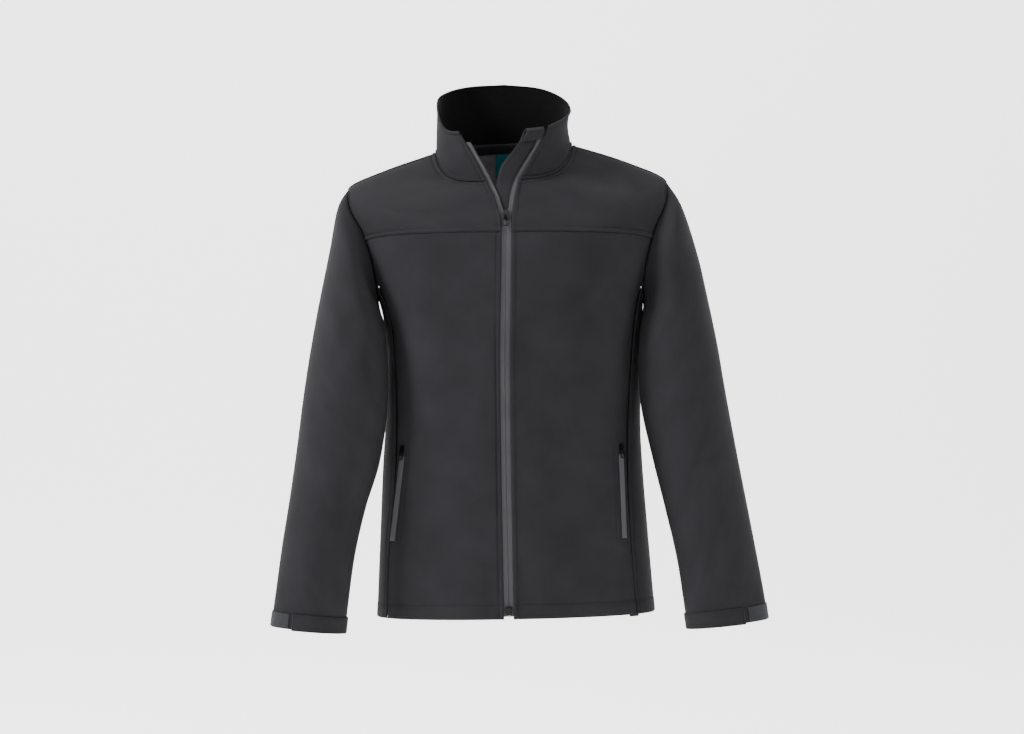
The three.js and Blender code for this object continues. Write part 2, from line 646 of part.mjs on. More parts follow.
function pullGeometry() {
  const { length, bar, width, wire } = PULL;
  const drop = (inset) => {
    const path = new THREE.Path();
    const half = width / 2 - inset;
    const top = bar / 2 - inset * 0.7;
    path.moveTo(-top, -inset);
    path.lineTo(top, -inset);
    path.quadraticCurveTo(half, -length * 0.5, half, -length * 0.68);
    path.quadraticCurveTo(half, -length + inset, 0, -length + inset);
    path.quadraticCurveTo(-half, -length + inset, -half, -length * 0.68);
    path.quadraticCurveTo(-half, -length * 0.5, -top, -inset);
    return path.getPoints(5).slice(0, -1);
  };
  const ring = new THREE.Shape(drop(0));
  ring.holes.push(new THREE.Path(drop(wire).reverse()));
  return new THREE.ExtrudeGeometry(ring, { depth: wire, bevelEnabled: false })
    .translate(0, wire / 2, -wire / 2).rotateX(Math.PI / 2);
}

const END_BOX = { width: 9, height: 12, depth: 4.2, level: -674, sink: 1.6 };
const endBoxGeometry = () => new RoundedBoxGeometry(END_BOX.width, END_BOX.depth, END_BOX.height, 1, 1);

// Finishes
const finish = (color, roughness) => new THREE.MeshStandardMaterial({ color, roughness, metalness: 0 });
const finishes = {
  softshell: () => finish(0x343335, 0.85),
  facing: () => finish(0x141314, 0.95),
  lining: () => finish(0x3f3f41, 0.9),
  label: () => finish(0x0e4245, 0.7),
  tape: () => finish(0x4b4b4d, 0.6),
  trim: () => finish(0x151516, 0.35),
};

const jacket = new THREE.Group();
function addPiece(name, geometry, material) {
  const mesh = new THREE.Mesh(geometry, material());
  mesh.name = name;
  jacket.add(mesh);
  return mesh;
}

// A slider and its pull, set on a tape whose outer face stands at the given height
function addZipPull(name, x, level, tapeHeight, scale) {
  const seat = tapeHeight + SEAM_GAP;
  const barHeight = (SLIDER.plate + PULL.wire / 2 + PULL.lift) * scale;
  const slider = addPiece(`${name}_slider`, sliderGeometry().scale(scale, scale, scale), finishes.trim);
  placeOn(slider, x, level, seat);
  const pull = addPiece(`${name}_pull`, pullGeometry().scale(scale, scale, scale), finishes.trim);
  placeOn(pull, x, level, seat + barHeight);
}

for (const side of [-1, 1]) {
  const name = sideName(side);
  addPiece(`front_${name}`, wall(trimmed(frontGrid(side)), CLOTH), finishes.softshell);
  addPiece(`yoke_${name}`, wall(trimmed(yokeGrid(side)), CLOTH), finishes.softshell);
  addPiece(`side_panel_${name}`, wall(trimmed(sidePanelGrid(side)), CLOTH), finishes.softshell);
  for (const length of SLEEVE_LENGTHS) {
    addPiece(`sleeve_${length.name}_${name}`,
      wall(sleeveGrid(side, length), CLOTH, 0, true), finishes.softshell);
  }
  addPiece(`cuff_strap_${name}`,
    wall(cuffGrid(side, CUFF.strapFrom, CUFF.strapTo, -CUFF.drop, CUFF.height - CUFF.drop),
      STRAP, STRAP + SEAM_GAP), finishes.softshell);
  addPiece(`cuff_patch_${name}`,
    wall(cuffGrid(side, CUFF.patchFrom, CUFF.patchTo, 1, CUFF.height - 3),
      TAPE, TAPE + SEAM_GAP), finishes.trim);
  addPiece(`zip_tape_${name}`, wall(tapeGrid(side), TAPE, -CLOTH - TAPE_DEPTH), finishes.tape);
}
addPiece('back', wall(trimmed(backGrid()), CLOTH), finishes.softshell);
addPiece('collar', wall(trimmed(collarGrid(0, 1)), CLOTH), finishes.softshell);
addPiece('collar_facing',
  wall(trimmed(collarGrid(COLLAR_FACING_INSET, 0.985)), FACING, -CLOTH - LAYER_GAP), finishes.facing);
addPiece('neck_lining', wall(neckLiningGrid(), FACING, -CLOTH - SEAM_GAP), finishes.lining);
addPiece('neck_label', wall(labelGrid(), LABEL, -CLOTH - FACING - SEAM_GAP - LAYER_GAP), finishes.label);
addPiece('zip_guard', wall(guardGrid(), GUARD), finishes.softshell);

const zipCentre = (level) => (valueAt(OPENING, 'level', 'left', level)
  + valueAt(OPENING, 'level', 'right', level)) / 2;
placeOn(addPiece('zip_end_box', endBoxGeometry(), finishes.trim),
  zipCentre(END_BOX.level), END_BOX.level, -CLOTH - TAPE_DEPTH + SEAM_GAP + END_BOX.depth / 2);
addZipPull('main', zipCentre(MAIN_SLIDER_LEVEL), MAIN_SLIDER_LEVEL, -CLOTH - TAPE_DEPTH, 1);

for (const pocket of POCKETS) {
  const name = sideName(pocket.side);
  addPiece(`pocket_tape_${name}`, wall(pocketTapeGrid(pocket), TAPE, TAPE + SEAM_GAP), finishes.tape);
  addZipPull(`pocket_${name}`, pocket.topX, pocket.sliderZ, SEAM_GAP, POCKET_PULL_SCALE);
}

export default jacket;
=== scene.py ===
"""Dresses the softshell jacket: finer cloth shells, seams, stitching, zip coils and finishes.

The cloth's shape is worked out in millimetres by the same sections as the solids, and each
piece is put in its place in metres. The front faces -Y and the wearer's left arm is on +X.
"""

import logging
import math
from dataclasses import dataclass, field
from enum import Enum
from typing import Callable

import bmesh
import bpy
import numpy as np
from mathutils import Matrix, Vector


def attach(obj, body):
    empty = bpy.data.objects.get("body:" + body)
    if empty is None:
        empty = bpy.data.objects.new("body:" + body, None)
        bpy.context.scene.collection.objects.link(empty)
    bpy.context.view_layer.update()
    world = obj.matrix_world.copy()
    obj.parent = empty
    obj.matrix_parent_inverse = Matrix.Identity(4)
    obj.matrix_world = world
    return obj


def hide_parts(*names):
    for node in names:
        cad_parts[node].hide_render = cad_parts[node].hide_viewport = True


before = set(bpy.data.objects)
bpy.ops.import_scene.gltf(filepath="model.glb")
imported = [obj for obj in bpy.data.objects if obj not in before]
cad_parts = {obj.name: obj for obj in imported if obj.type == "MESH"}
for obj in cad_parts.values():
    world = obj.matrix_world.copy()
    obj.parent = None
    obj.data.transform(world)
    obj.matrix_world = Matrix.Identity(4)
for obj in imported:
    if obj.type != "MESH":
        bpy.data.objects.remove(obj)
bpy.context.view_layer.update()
log = logging.getLogger("jacket")

MM = 0.001

# Thicknesses, in millimetres
CLOTH = 2.0
FACING = 1.0
TAPE = 0.8
GUARD = 1.4
LABEL = 0.6
STRAP = 1.6
BINDING = 0.4
NECK_BINDING = 0.5
# Gaps between neighbours in a seam, between layers, and from a front down to its zip tape
SEAM_GAP = 0.3
LAYER_GAP = 0.7
TAPE_DEPTH = 0.7

# Levels on the body's skin, in millimetres, and places round the armhole, in degrees
HEM_LEVEL = -686.0
SHOULDER_LEVEL = -46.0
NECK_LEVEL = 8.0
YOKE_FRONT_LEVEL = -120.0
ARMHOLE_LEVEL = -130.5
ARMHOLE_HALF_HEIGHT = 84.5
ARMHOLE_HALF_ANGLE = 26.0
SIDE_SEAM_TURN = 135.0
YOKE_TURN = 90.0
SLEEVE_SET_OUT = 0.45


class Side(Enum):
    """A side of the jacket as the picture shows it, with the sign of its X."""

    LEFT = -1
    RIGHT = 1

    @property
    def label(self) -> str:
        """Gives the side's word in the names of pieces."""
        return self.name.lower()


def table(columns: str, rows: list[list[float]]) -> dict[str, np.ndarray]:
    """Turns rows with named columns into one array for each column.

    Args:
        columns: The columns' names, with spaces between them.
        rows: One row for each section or fold.

    Returns:
        The columns by name.
    """
    return dict(zip(columns.split(), np.array(rows, dtype=float).T))


BODY = table("level front_z back_z roll centre half front back power", [
    [-686, -686, -690, 0.02, 12, 208, 128, 118, 2.3],
    [-560, -560, -562, 0.015, 9, 200, 131, 114, 2.35],
    [-460, -460, -461, 0.01, 7, 194, 132, 110, 2.4],
    [-350, -350, -350, 0.005, 8, 188, 134, 112, 2.4],
    [-256, -256, -254, 0, 8, 190, 136, 118, 2.4],
    [-200, -200, -196, 0, 3, 204, 131, 120, 2.4],
    [-120, -120, -108, 0.01, 1, 234, 110, 115, 2.4],
    [-46, -84, -44, 0.024, -1, 238, 92, 98, 2.3],
    [-17, -62, -12, 0.035, -3, 178, 84, 80, 2.15],
    [8, -43, 14, 0.055, -6, 102, 75, 64, 2],
])
OPENING = table("level left right", [
    [-686, -5.2, 8.3], [-338, -11, 2.5], [-120, -9, 4.5], [-75, -10, 4.5],
    [-46, -14, 6.5], [-17, -21, 10], [8, -30, 15],
])
SIDE_SEAM = table("level left right", [
    [-686, -178, 190], [-600, -176, 183], [-480, -166, 176], [-400, -163, 175],
    [-330, -165, 178], [-262, -171, 183], [-222, -182, 190], [-190, -195, 201],
])
RIM = table("angle z", [
    [-180, 112], [-150, 108], [-120, 97], [-90, 80], [-75, 56], [-60, 36], [-38, 30],
    [0, 32], [36, 38], [50, 45], [75, 61], [90, 70], [120, 90], [150, 106], [180, 112],
])
COLLAR_CENTRE, COLLAR_HALF, COLLAR_FRONT, COLLAR_BACK = -6.0, 100.0, 84.0, 72.0
COLLAR_POWER, COLLAR_WAIST, COLLAR_FACING_INSET = 2.2, 2.5, 5.0
COLLAR_EDGE = table("rise left right", [
    [0, -30, 15], [0.33, -43, 31], [0.67, -57, 48], [1, -71, 59],
])
GUARD_BODY = table("level left right", [
    [-680, -10, 22], [-338, -16, 16], [-120, -14, 18], [-75, -14, 15], [-46, -16, 14], [8, -17, 16],
])
GUARD_COLLAR = table("rise left right", [
    [0, -17, 16], [0.33, -8, 30], [0.67, 13, 45], [1, 27, 52],
])
GUARD_LOOP = table("rise out", [
    [0.7, -4.2], [0.8, -7.5], [0.89, -9], [0.95, -6], [0.97, -1.5],
    [0.94, 2.6], [0.88, 4.4], [0.81, 4], [0.76, 2.6],
])
SLEEVE_COLUMNS = "outer_x outer_z inner_x inner_z y depth turn"
SLEEVES = {
    Side.LEFT: table(SLEEVE_COLUMNS, [
        [-253, -76, -191.2, -232, -14, 64, 0],
        [-266, -146, -184.6, -251, -30, 67, 0.08],
        [-279, -215, -181, -270, -42, 68, 0.14],
        [-291, -285, -178, -312, -54, 66, 0.16],
        [-302, -358, -178, -376, -62, 62, 0.15],
        [-313, -445, -190, -462, -67, 58, 0.1],
        [-322, -510, -209, -524, -72, 54, 0.06],
        [-333, -582, -225, -595, -80, 47, 0.03],
        [-342, -652, -234, -663, -88, 41, 0],
        [-348, -698, -239, -707, -93, 37, 0],
    ]),
    Side.RIGHT: table(SLEEVE_COLUMNS, [
        [258, -74, 201.7, -232, -14, 64, 0],
        [283, -150, 199, -248, -22, 68, 0.06],
        [297, -215, 195.5, -270, -38, 68, 0.08],
        [311, -285, 194, -312, -48, 66, 0.1],
        [322, -352, 196, -370, -55, 63, 0.08],
        [338, -440, 215, -458, -60, 59, 0.04],
        [351, -508, 232, -526, -64, 55, 0],
        [365, -582, 249, -600, -71, 49, 0],
        [377, -648, 259, -666, -78, 43, 0],
        [383, -688, 264, -701, -83, 40, 0],
    ]),
}
FOLDS = table("face x0 z0 x1 z1 width depth", [
    [1, -262, -150, -236, -250, 16, -3], [1, -200, -215, -262, -330, 18, -4],
    [1, -290, -330, -215, -400, 16, -3.5], [1, -300, -420, -222, -455, 13, -3],
    [1, -310, -470, -262, -600, 15, 2.5], [1, -240, -480, -262, -640, 12, -2.5],
    [1, 275, -140, 262, -260, 16, -3], [1, 212, -215, 280, -310, 18, -4],
    [1, 312, -330, 240, -400, 16, -3], [1, 330, -430, 262, -470, 13, -3],
    [1, 300, -480, 330, -620, 15, 2.5], [1, 262, -560, 278, -650, 9, -4],
    [1, 150, -320, 168, -395, 14, -2.5], [1, 200, -196, 140, -240, 9, -3],
    [1, -196, -196, -130, -250, 10, -3], [1, 50, -180, 70, -420, 34, -3],
    [1, -80, -200, -60, -520, 36, -3.5], [1, 105, -440, 92, -650, 24, -3],
    [1, -105, -450, -112, -670, 22, -3], [1, 45, -540, 60, -680, 22, 2.5],
    [1, -55, -560, -45, -684, 22, 2.5],
    [-1, -120, -150, -60, -330, 30, -4], [-1, 125, -150, 50, -350, 32, -4],
    [-1, 0, -180, 10, -480, 30, 2.5], [-1, -150, -300, -60, -420, 20, -4],
    [-1, 150, -320, 70, -450, 22, -4], [-1, -100, -450, -120, -680, 26, -4],
    [-1, 95, -470, 120, -684, 28, -4], [-1, -20, -520, -10, -684, 26, 3],
    [-1, -290, -300, -215, -360, 16, -3.5], [-1, -300, -400, -235, -450, 15, -3.5],
    [-1, 310, -300, 235, -370, 16, -3.5], [-1, 325, -400, 250, -455, 15, -3.5],
])
# Smaller creases, which only the dressed cloth has
CREASES = table("face x0 z0 x1 z1 width depth", [
    [1, 204, -186, 158, -178, 6, -1.6], [1, 200, -200, 150, -214, 7, 1.2],
    [1, -110, -30, -84, -60, 8, -1.5], [1, 84, -34, 112, -66, 8, 1.3],
    [1, -178, -226, -140, -270, 8, 1.4], [1, 178, -236, 150, -300, 8, -1.5],
    [1, -150, -560, -120, -600, 8, -1.4], [1, 146, -586, 118, -560, 8, 1.4],
    [1, -30, -300, -50, -420, 14, 1.4], [1, 30, -250, 24, -380, 14, -1.4],
    [1, -140, -610, -120, -680, 10, 1.6], [1, 150, -620, 138, -684, 10, 1.5],
    [1, 20, -600, 26, -684, 9, -1.3], [1, -28, -620, -20, -684, 9, -1.2],
    [1, -282, -190, -246, -204, 7, -1.6], [1, -296, -262, -240, -292, 8, 1.5],
    [1, -292, -366, -232, -384, 7, -1.8], [1, -300, -392, -240, -412, 7, 1.4],
    [1, -312, -500, -258, -520, 8, -1.5], [1, -330, -560, -280, -590, 8, 1.4],
    [1, -338, -640, -262, -652, 6, -1.5], [1, -300, -610, -290, -680, 8, 1.3],
    [1, 250, -176, 296, -196, 7, -1.6], [1, 236, -270, 292, -286, 8, 1.5],
    [1, 252, -372, 316, -356, 7, -1.8], [1, 262, -404, 326, -392, 7, 1.4],
    [1, 276, -510, 336, -494, 8, -1.5], [1, 290, -566, 350, -580, 8, 1.4],
    [1, 284, -644, 370, -634, 6, -1.5], [1, 330, -600, 338, -668, 8, 1.3],
    [-1, -90, -60, -60, -110, 12, -1.6], [-1, 96, -64, 56, -120, 12, -1.5],
    [-1, -160, -250, -120, -280, 9, 1.5], [-1, 160, -262, 116, -300, 9, -1.6],
    [-1, -40, -360, 20, -372, 10, -1.4], [-1, -60, -560, -50, -684, 12, 1.5],
    [-1, 60, -580, 66, -684, 12, -1.4], [-1, -296, -266, -226, -290, 8, -1.6],
    [-1, -302, -376, -240, -392, 8, 1.4], [-1, -320, -520, -262, -540, 8, -1.5],
    [-1, 316, -266, 240, -290, 8, -1.6], [-1, 318, -386, 256, -396, 8, 1.4],
    [-1, 346, -524, 276, -546, 8, -1.5],
])
DRESSED_FOLDS = {key: np.concatenate([FOLDS[key], CREASES[key]]) for key in FOLDS}
POCKETS = {
    Side.LEFT: {"top": (-155.0, -447.0), "bottom": (-170.0, -572.0)},
    Side.RIGHT: {"top": (166.0, -447.0), "bottom": (171.0, -572.0)},
}
POCKET_TAPE_WIDTH = 7.0
POCKET_LENGTH = 125.0


def sine(degrees: np.ndarray) -> np.ndarray:
    """Gives the sine of an angle in degrees."""
    return np.sin(np.radians(degrees))


def cosine(degrees: np.ndarray) -> np.ndarray:
    """Gives the cosine of an angle in degrees."""
    return np.cos(np.radians(degrees))


def signed_power(value: np.ndarray, exponent: np.ndarray) -> np.ndarray:
    """Raises a value to a power and keeps its sign."""
    return np.sign(value) * np.abs(value) ** exponent


def mix(start: np.ndarray, end: np.ndarray, share: np.ndarray) -> np.ndarray:
    """Gives the value a share of the way from start to end."""
    return start + (end - start) * share


def value_at(rows: dict[str, np.ndarray], key: str, column: str, at: np.ndarray) -> np.ndarray:
    """Reads a column of a table along a smooth curve through its rows.

    Args:
        rows: The table.
        key: The column that grows from row to row.
        column: The column to read.
        at: Where to read it.

    Returns:
        The values there.
    """
    at = np.asarray(at, dtype=float)
    x, y = rows[key], rows[column]
    last = len(x) - 1
    before = np.maximum(np.arange(last + 1) - 1, 0)
    after = np.minimum(np.arange(last + 1) + 1, last)
    slopes = (y[after] - y[before]) / (x[after] - x[before])
    i = np.clip(np.searchsorted(x, at, side="left") - 1, 0, last - 1)
    span = x[i + 1] - x[i]
    t = (at - x[i]) / span
    return (y[i] * (1 + 2 * t) * (1 - t) ** 2 + slopes[i] * span * t * (1 - t) ** 2
            + y[i + 1] * t * t * (3 - 2 * t) + slopes[i + 1] * span * t * t * (t - 1))


def fold_lift(x: np.ndarray, z: np.ndarray, face: np.ndarray) -> np.ndarray:
    """Gives how far the folds and creases lift the cloth at a place, in millimetres.

    Args:
        x: Place across the jacket.
        z: Height.
        face: Positive on cloth that faces the front, negative on the back.

    Returns:
        The lift, faded out where the cloth turns sideways.
    """
    lift = np.zeros(np.broadcast(x, z).shape)
    for side, x0, z0, x1, z1, width, depth in zip(*DRESSED_FOLDS.values()):
        along_x, along_z = x1 - x0, z1 - z0
        share = ((x - x0) * along_x + (z - z0) * along_z) / (along_x ** 2 + along_z ** 2)
        share = np.clip(share, 0, 1)
        gap = np.hypot(x - x0 - along_x * share, z - z0 - along_z * share) / width
        taper = 0.35 + 0.65 * np.sin(np.pi * share)
        lift = lift + np.where(np.sign(face) == side, depth * np.exp(-gap * gap) * taper, 0.0)
    return lift * np.abs(face)


def drop_share(cos_of_angle: np.ndarray) -> np.ndarray:
    """Gives how far a section has dropped from its side towards its front or back height."""
    roundness = 0.2
    eased = ((np.hypot(cos_of_angle, roundness) - roundness)
             / (math.hypot(1, roundness) - roundness))
    return 1 - (1 - eased) ** 2


def body_point(angle: np.ndarray, level: np.ndarray) -> np.ndarray:
    """Gives points on the body's skin.

    Args:
        angle: Degrees round the body from the front's middle towards +X.
        level: The height at the sides of the section that the point lies on.

    Returns:
        Points in millimetres, in the last axis.
    """
    angle, level = np.broadcast_arrays(np.asarray(angle, float), np.asarray(level, float))
    at = lambda column: value_at(BODY, "level", column, level)
    exponent = 2 / at("power")
    c = cosine(angle)
    x = at("half") * signed_power(sine(angle), exponent)
    reach = np.where(c > 0, at("front"), at("back"))
    end_z = np.where(c > 0, at("front_z"), at("back_z"))
    z = level + (end_z - level) * drop_share(np.abs(c)) + at("roll") * x
    place = at("centre") + x
    y = -reach * signed_power(c, exponent) - np.sign(c) * fold_lift(place, z, c)
    return np.stack([place, y, z], axis=-1)


def angle_at_x(x: np.ndarray, level: np.ndarray) -> np.ndarray:
    """Gives the angle on the body's front at which a section reaches a given x."""
    offset = x - value_at(BODY, "level", "centre", level)
    share = np.minimum(np.abs(offset) / value_at(BODY, "level", "half", level), 1)
    power = value_at(BODY, "level", "power", level) / 2
    return np.sign(offset) * np.degrees(np.arcsin(share ** power))


def collar_angle_at_x(x: np.ndarray) -> np.ndarray:
    """Gives the angle on the neck seam at which it reaches a given x."""
    return angle_at_x(np.asarray(x, float), np.full(np.shape(x), NECK_LEVEL))


def collar_point(angle: np.ndarray, rise: np.ndarray) -> np.ndarray:
    """Gives points on the collar's skin.

    Args:
        angle: Degrees round the neck from the front's middle towards +X.
        rise: 0 at the neck seam and 1 at the rim.

    Returns:
        Points in millimetres, in the last axis.
    """
    angle, rise = np.broadcast_arrays(np.asarray(angle, float), np.asarray(rise, float))
    foot = body_point(angle, np.full(angle.shape, NECK_LEVEL))
    signed = np.where(angle > 180, angle - 360, angle)
    c, s = cosine(angle), sine(angle)
    reach = np.where(c > 0, COLLAR_FRONT, COLLAR_BACK)
    rim = np.stack([
        COLLAR_CENTRE + COLLAR_HALF * signed_power(s, 2 / COLLAR_POWER),
        -reach * signed_power(c, 2 / COLLAR_POWER),
        value_at(RIM, "angle", "z", signed),
    ], axis=-1)
    point = mix(foot, rim, rise[..., None])
    waist = COLLAR_WAIST * (1 + s) * np.sin(np.pi * np.clip(rise, 0, 1))
    point[..., 0] -= waist * s
    point[..., 1] += waist * c
    return point


def outward(surface: Callable, u: np.ndarray, v: np.ndarray, du: float, dv: float) -> np.ndarray:
    """Gives a surface's outward directions from small steps along both of its directions."""
    along_u = surface(u + du, v) - surface(u - du, v)
    along_v = surface(u, v + dv) - surface(u, v - dv)
    out = np.cross(along_u, along_v)
    return out / np.linalg.norm(out, axis=-1, keepdims=True)


@dataclass
class Skin:
    """A grid of points on a cloth surface, with the direction out of the cloth at each."""

    point: np.ndarray
    out: np.ndarray

    def moved(self, lift: np.ndarray | float) -> np.ndarray:
        """Gives the points moved out by a lift, one for all or one for each."""
        return self.point + self.out * (np.asarray(lift)[..., None] if np.ndim(lift) else lift)


def grid_skin(point: np.ndarray) -> Skin:
    """Gives a grid of points its outward directions, from the grid's own steps."""
    normal = np.cross(np.gradient(point, axis=1), np.gradient(point, axis=0))
    return Skin(point, normal / np.linalg.norm(normal, axis=-1, keepdims=True))


def run_along(line: np.ndarray) -> np.ndarray:
    """Gives the length run along a line of points, at each of them."""
    return np.pad(np.cumsum(np.linalg.norm(np.diff(line, axis=0), axis=-1)), (1, 0))


def point_at(line: np.ndarray, run: np.ndarray, place: float) -> np.ndarray:
    """Gives the point at a length along a line of points.

    Args:
        line: The points.
        run: The length run at each of them.
        place: The length at which to read the line.

    Returns:
        The point there.
    """
    return np.array([np.interp(place, run, line[:, axis]) for axis in range(3)])


def body_skin(angle: np.ndarray, level: np.ndarray) -> Skin:
    """Gives a grid on the body."""
    angle, level = np.broadcast_arrays(np.asarray(angle, float), np.asarray(level, float))
    out = outward(body_point, angle, np.minimum(level, NECK_LEVEL - 1), 0.5, 1.0)
    return Skin(body_point(angle, level), out)


def collar_skin(angle: np.ndarray, rise: np.ndarray) -> Skin:
    """Gives a grid on the collar."""
    return Skin(collar_point(angle, rise), outward(collar_point, angle, rise, 0.5, 0.01))


def armhole_level(turn: np.ndarray) -> np.ndarray:
    """Gives the level of a place on the armhole, by its turn from the shoulder."""
    return ARMHOLE_LEVEL + ARMHOLE_HALF_HEIGHT * cosine(turn)


def armhole_angle(turn: np.ndarray) -> np.ndarray:
    """Gives the angle round the body of a place on the armhole."""
    return 90 - ARMHOLE_HALF_ANGLE * sine(turn)


def armhole_turn(level: np.ndarray) -> np.ndarray:
    """Gives the turn at which the armhole's front reaches a level."""
    return np.degrees(np.arccos(np.clip((level - ARMHOLE_LEVEL) / ARMHOLE_HALF_HEIGHT, -1, 1)))


SIDE_TOP_LEVEL = float(armhole_level(SIDE_SEAM_TURN))


def centripetal(points: np.ndarray, along: np.ndarray) -> np.ndarray:
    """Reads smooth curves through rows of control points.

    Args:
        points: Control points, as rows, curves and coordinates.
        along: Shares along the curves.

    Returns:
        Points, as shares, curves and coordinates.
    """
    spans = len(points) - 1
    result = []
    for share in along:
        place = min(max(share, 0.0), 1.0) * spans
        i = min(int(place), spans - 1)
        t = place - i
        p1, p2 = points[i], points[i + 1]
        p0 = points[i - 1] if i > 0 else 2 * p1 - p2
        p3 = points[i + 2] if i + 2 <= spans else 2 * p2 - p1
        gaps = [np.maximum(np.linalg.norm(b - a, axis=-1, keepdims=True) ** 0.5, 1e-4)
                for a, b in ((p0, p1), (p1, p2), (p2, p3))]
        g0, g1, g2 = gaps
        t1 = ((p1 - p0) / g0 - (p2 - p0) / (g0 + g1) + (p2 - p1) / g1) * g1
        t2 = ((p2 - p1) / g1 - (p3 - p1) / (g1 + g2) + (p3 - p2) / g2) * g1
        result.append(p1 + t1 * t + (-3 * p1 + 3 * p2 - 2 * t1 - t2) * t * t
                      + (2 * p1 - 2 * p2 + t1 + t2) * t ** 3)
    return np.array(result)


def sleeve_points(side: Side, turns: np.ndarray, along: np.ndarray) -> np.ndarray:
    """Gives a grid of points on a sleeve, with a row for each share along it."""
    start = body_point(side.value * armhole_angle(turns), armhole_level(turns))
    start[..., 0] += side.value * SLEEVE_SET_OUT
    sections = SLEEVES[side]
    controls = [start]
    share = (1 + cosine(turns)) / 2
    for i in range(len(sections["y"])):
        row = {key: column[i] for key, column in sections.items()}
        forward = row["depth"] * sine(turns)
        x = mix(row["inner_x"], row["outer_x"], share) - side.value * row["turn"] * forward
        z = mix(row["inner_z"], row["outer_z"], share)
        controls.append(np.stack([x, row["y"] - forward, z], axis=-1))
    points = centripetal(np.array(controls), along)
    face = np.broadcast_to(sine(turns), points.shape[:2])
    near_seam = np.clip(np.asarray(along)[:, None] / 0.1, 0, 1)
    lift = fold_lift(points[..., 0], points[..., 2], face) * near_seam
    points[..., 1] -= np.sign(face) * lift
    return points


def sleeve_skin(side: Side, turns: np.ndarray, along: np.ndarray) -> Skin:
    """Gives a grid on a sleeve."""
    inner = np.clip(along, 0.004, 0.996)
    along_turn = sleeve_points(side, turns + 1, inner) - sleeve_points(side, turns - 1, inner)
    down = sleeve_points(side, turns, inner + 0.004) - sleeve_points(side, turns, inner - 0.004)
    out = np.cross(along_turn, down) * side.value
    out /= np.linalg.norm(out, axis=-1, keepdims=True)
    return Skin(sleeve_points(side, turns, np.asarray(along)), out)


def front_edge_angle(side: Side, level: np.ndarray) -> np.ndarray:
    """Gives the angle of a front's edge beside the zip."""
    return angle_at_x(value_at(OPENING, "level", side.label, level), level)


def front_seam_angle(side: Side, level: np.ndarray) -> np.ndarray:
    """Gives the angle of the seam between front and side panel."""
    below = angle_at_x(value_at(SIDE_SEAM, "level", side.label, level), level)
    return np.where(level >= SIDE_TOP_LEVEL, side.value * armhole_angle(SIDE_SEAM_TURN), below)


def front_level(level: np.ndarray, share: np.ndarray) -> np.ndarray:
    """Bends a front's levels so that the yoke seam falls towards the armhole."""
    below = level <= ARMHOLE_LEVEL
    climb = np.where(below, (level - HEM_LEVEL) / (ARMHOLE_LEVEL - HEM_LEVEL),
                     (NECK_LEVEL - level) / (NECK_LEVEL - ARMHOLE_LEVEL))
    dip = (YOKE_FRONT_LEVEL - ARMHOLE_LEVEL) * (1 - share ** 3)
    return level + dip * climb ** np.where(below, 4, 2)


def spread(length: float, coarse: float, near: list[float], ends: tuple[bool, bool]) -> np.ndarray:
    """Places grid lines along a length, close together beside its sewn ends.

    Args:
        length: The length in millimetres.
        coarse: The spacing away from the ends.
        near: Distances from a sewn end that get a line.
        ends: Whether the start and the end are sewn.

    Returns:
        Shares of the length from 0 to 1.
    """
    places = [0.0]
    margin = near[-1]
    low = margin if ends[0] else 0.0
    high = length - (margin if ends[1] else 0.0)
    if ends[0]:
        places += near
    count = max(int(round((high - low) / coarse)), 1)
    places += [low + (high - low) * i / count for i in range(1, count)]
    if ends[1]:
        places += [length - distance for distance in reversed(near)]
    places.append(length)
    return np.array(places) / length


# Distances from a sewn edge, in millimetres: the rolled edge, the ridge and the stitch groove
SEAM_LINES = [0.6, 1.6, 3.4, 5.2, 6.4, 7.6, 10.0]
STITCH_DISTANCE = 6.4
# The cloth's rise at a sewn edge and at those distances from it
STITCHED_RELIEF = [-0.9, 0.1, 0.9, 1.3, 0.9, -1.2, -0.2, 0]
PLAIN_RELIEF = [-1.1, -0.4, -0.1, 0, 0, 0, 0, 0]
# The same for the narrow pieces at the cuff, which are stitched along the last line
BAND_LINES = [0.8, 2.0, 3.2]
# Distances from a hem's edge, with its stitching
HEM_STITCH = 21.5
HEM_LINES = [0.6, 1.6, 3.4, 6.4, 12, 20.3, 21.5, 22.7, 25]
HEM_PROFILE = table("distance lift", [[0, 0.5], [20.3, 0.5], [21.5, -0.5], [22.7, 0.1], [25, 0]])
# Which of a panel's edges are meant: first and last column, first and last row
NO_EDGE = (False,) * 4
EVERY_EDGE = (True,) * 4
# The least width, in metres, that a cut's logged size is given
NARROWEST_SHEET = 0.01
# The side panels fill out under the arms, where the sleeves lie against them
UNDERARM_SWELL = table("z lift", [
    [-420, 0], [-335, 3], [-262, 3], [-248, 2.8], [-236, 1.6], [-222, 0.2], [-214, 0],
])


def seam_relief(distance: np.ndarray, stitched: bool) -> np.ndarray:
    """Gives the cloth's relief beside a seam: a rolled edge, a raised allowance and a groove."""
    return np.interp(distance, [0, *SEAM_LINES], STITCHED_RELIEF if stitched else PLAIN_RELIEF)


def to_linear(hex_value: str) -> tuple[float, float, float, float]:
    """Turns an sRGB hex value such as 2f2e30 to linear colour with alpha 1."""
    channels = [int(hex_value[i:i + 2], 16) / 255 for i in (0, 2, 4)]
    linear = [c / 12.92 if c <= 0.04045 else ((c + 0.055) / 1.055) ** 2.4 for c in channels]
    return (*linear, 1.0)


def add_node(tree: bpy.types.NodeTree, kind: str, inputs: dict | None = None,
             **settings: object) -> bpy.types.Node:
    """Adds a node with its settings, values and links.

    Args:
        tree: The material's node tree.
        kind: The node's type.
        inputs: Values or output sockets by input name.
        settings: The node's own settings.

    Returns:
        The node.
    """
    node = tree.nodes.new(kind)
    for key, value in settings.items():
        setattr(node, key, value)
    for key, value in (inputs or {}).items():
        if isinstance(value, bpy.types.NodeSocket):
            tree.links.new(value, node.inputs[key])
        else:
            node.inputs[key].default_value = value
    return node


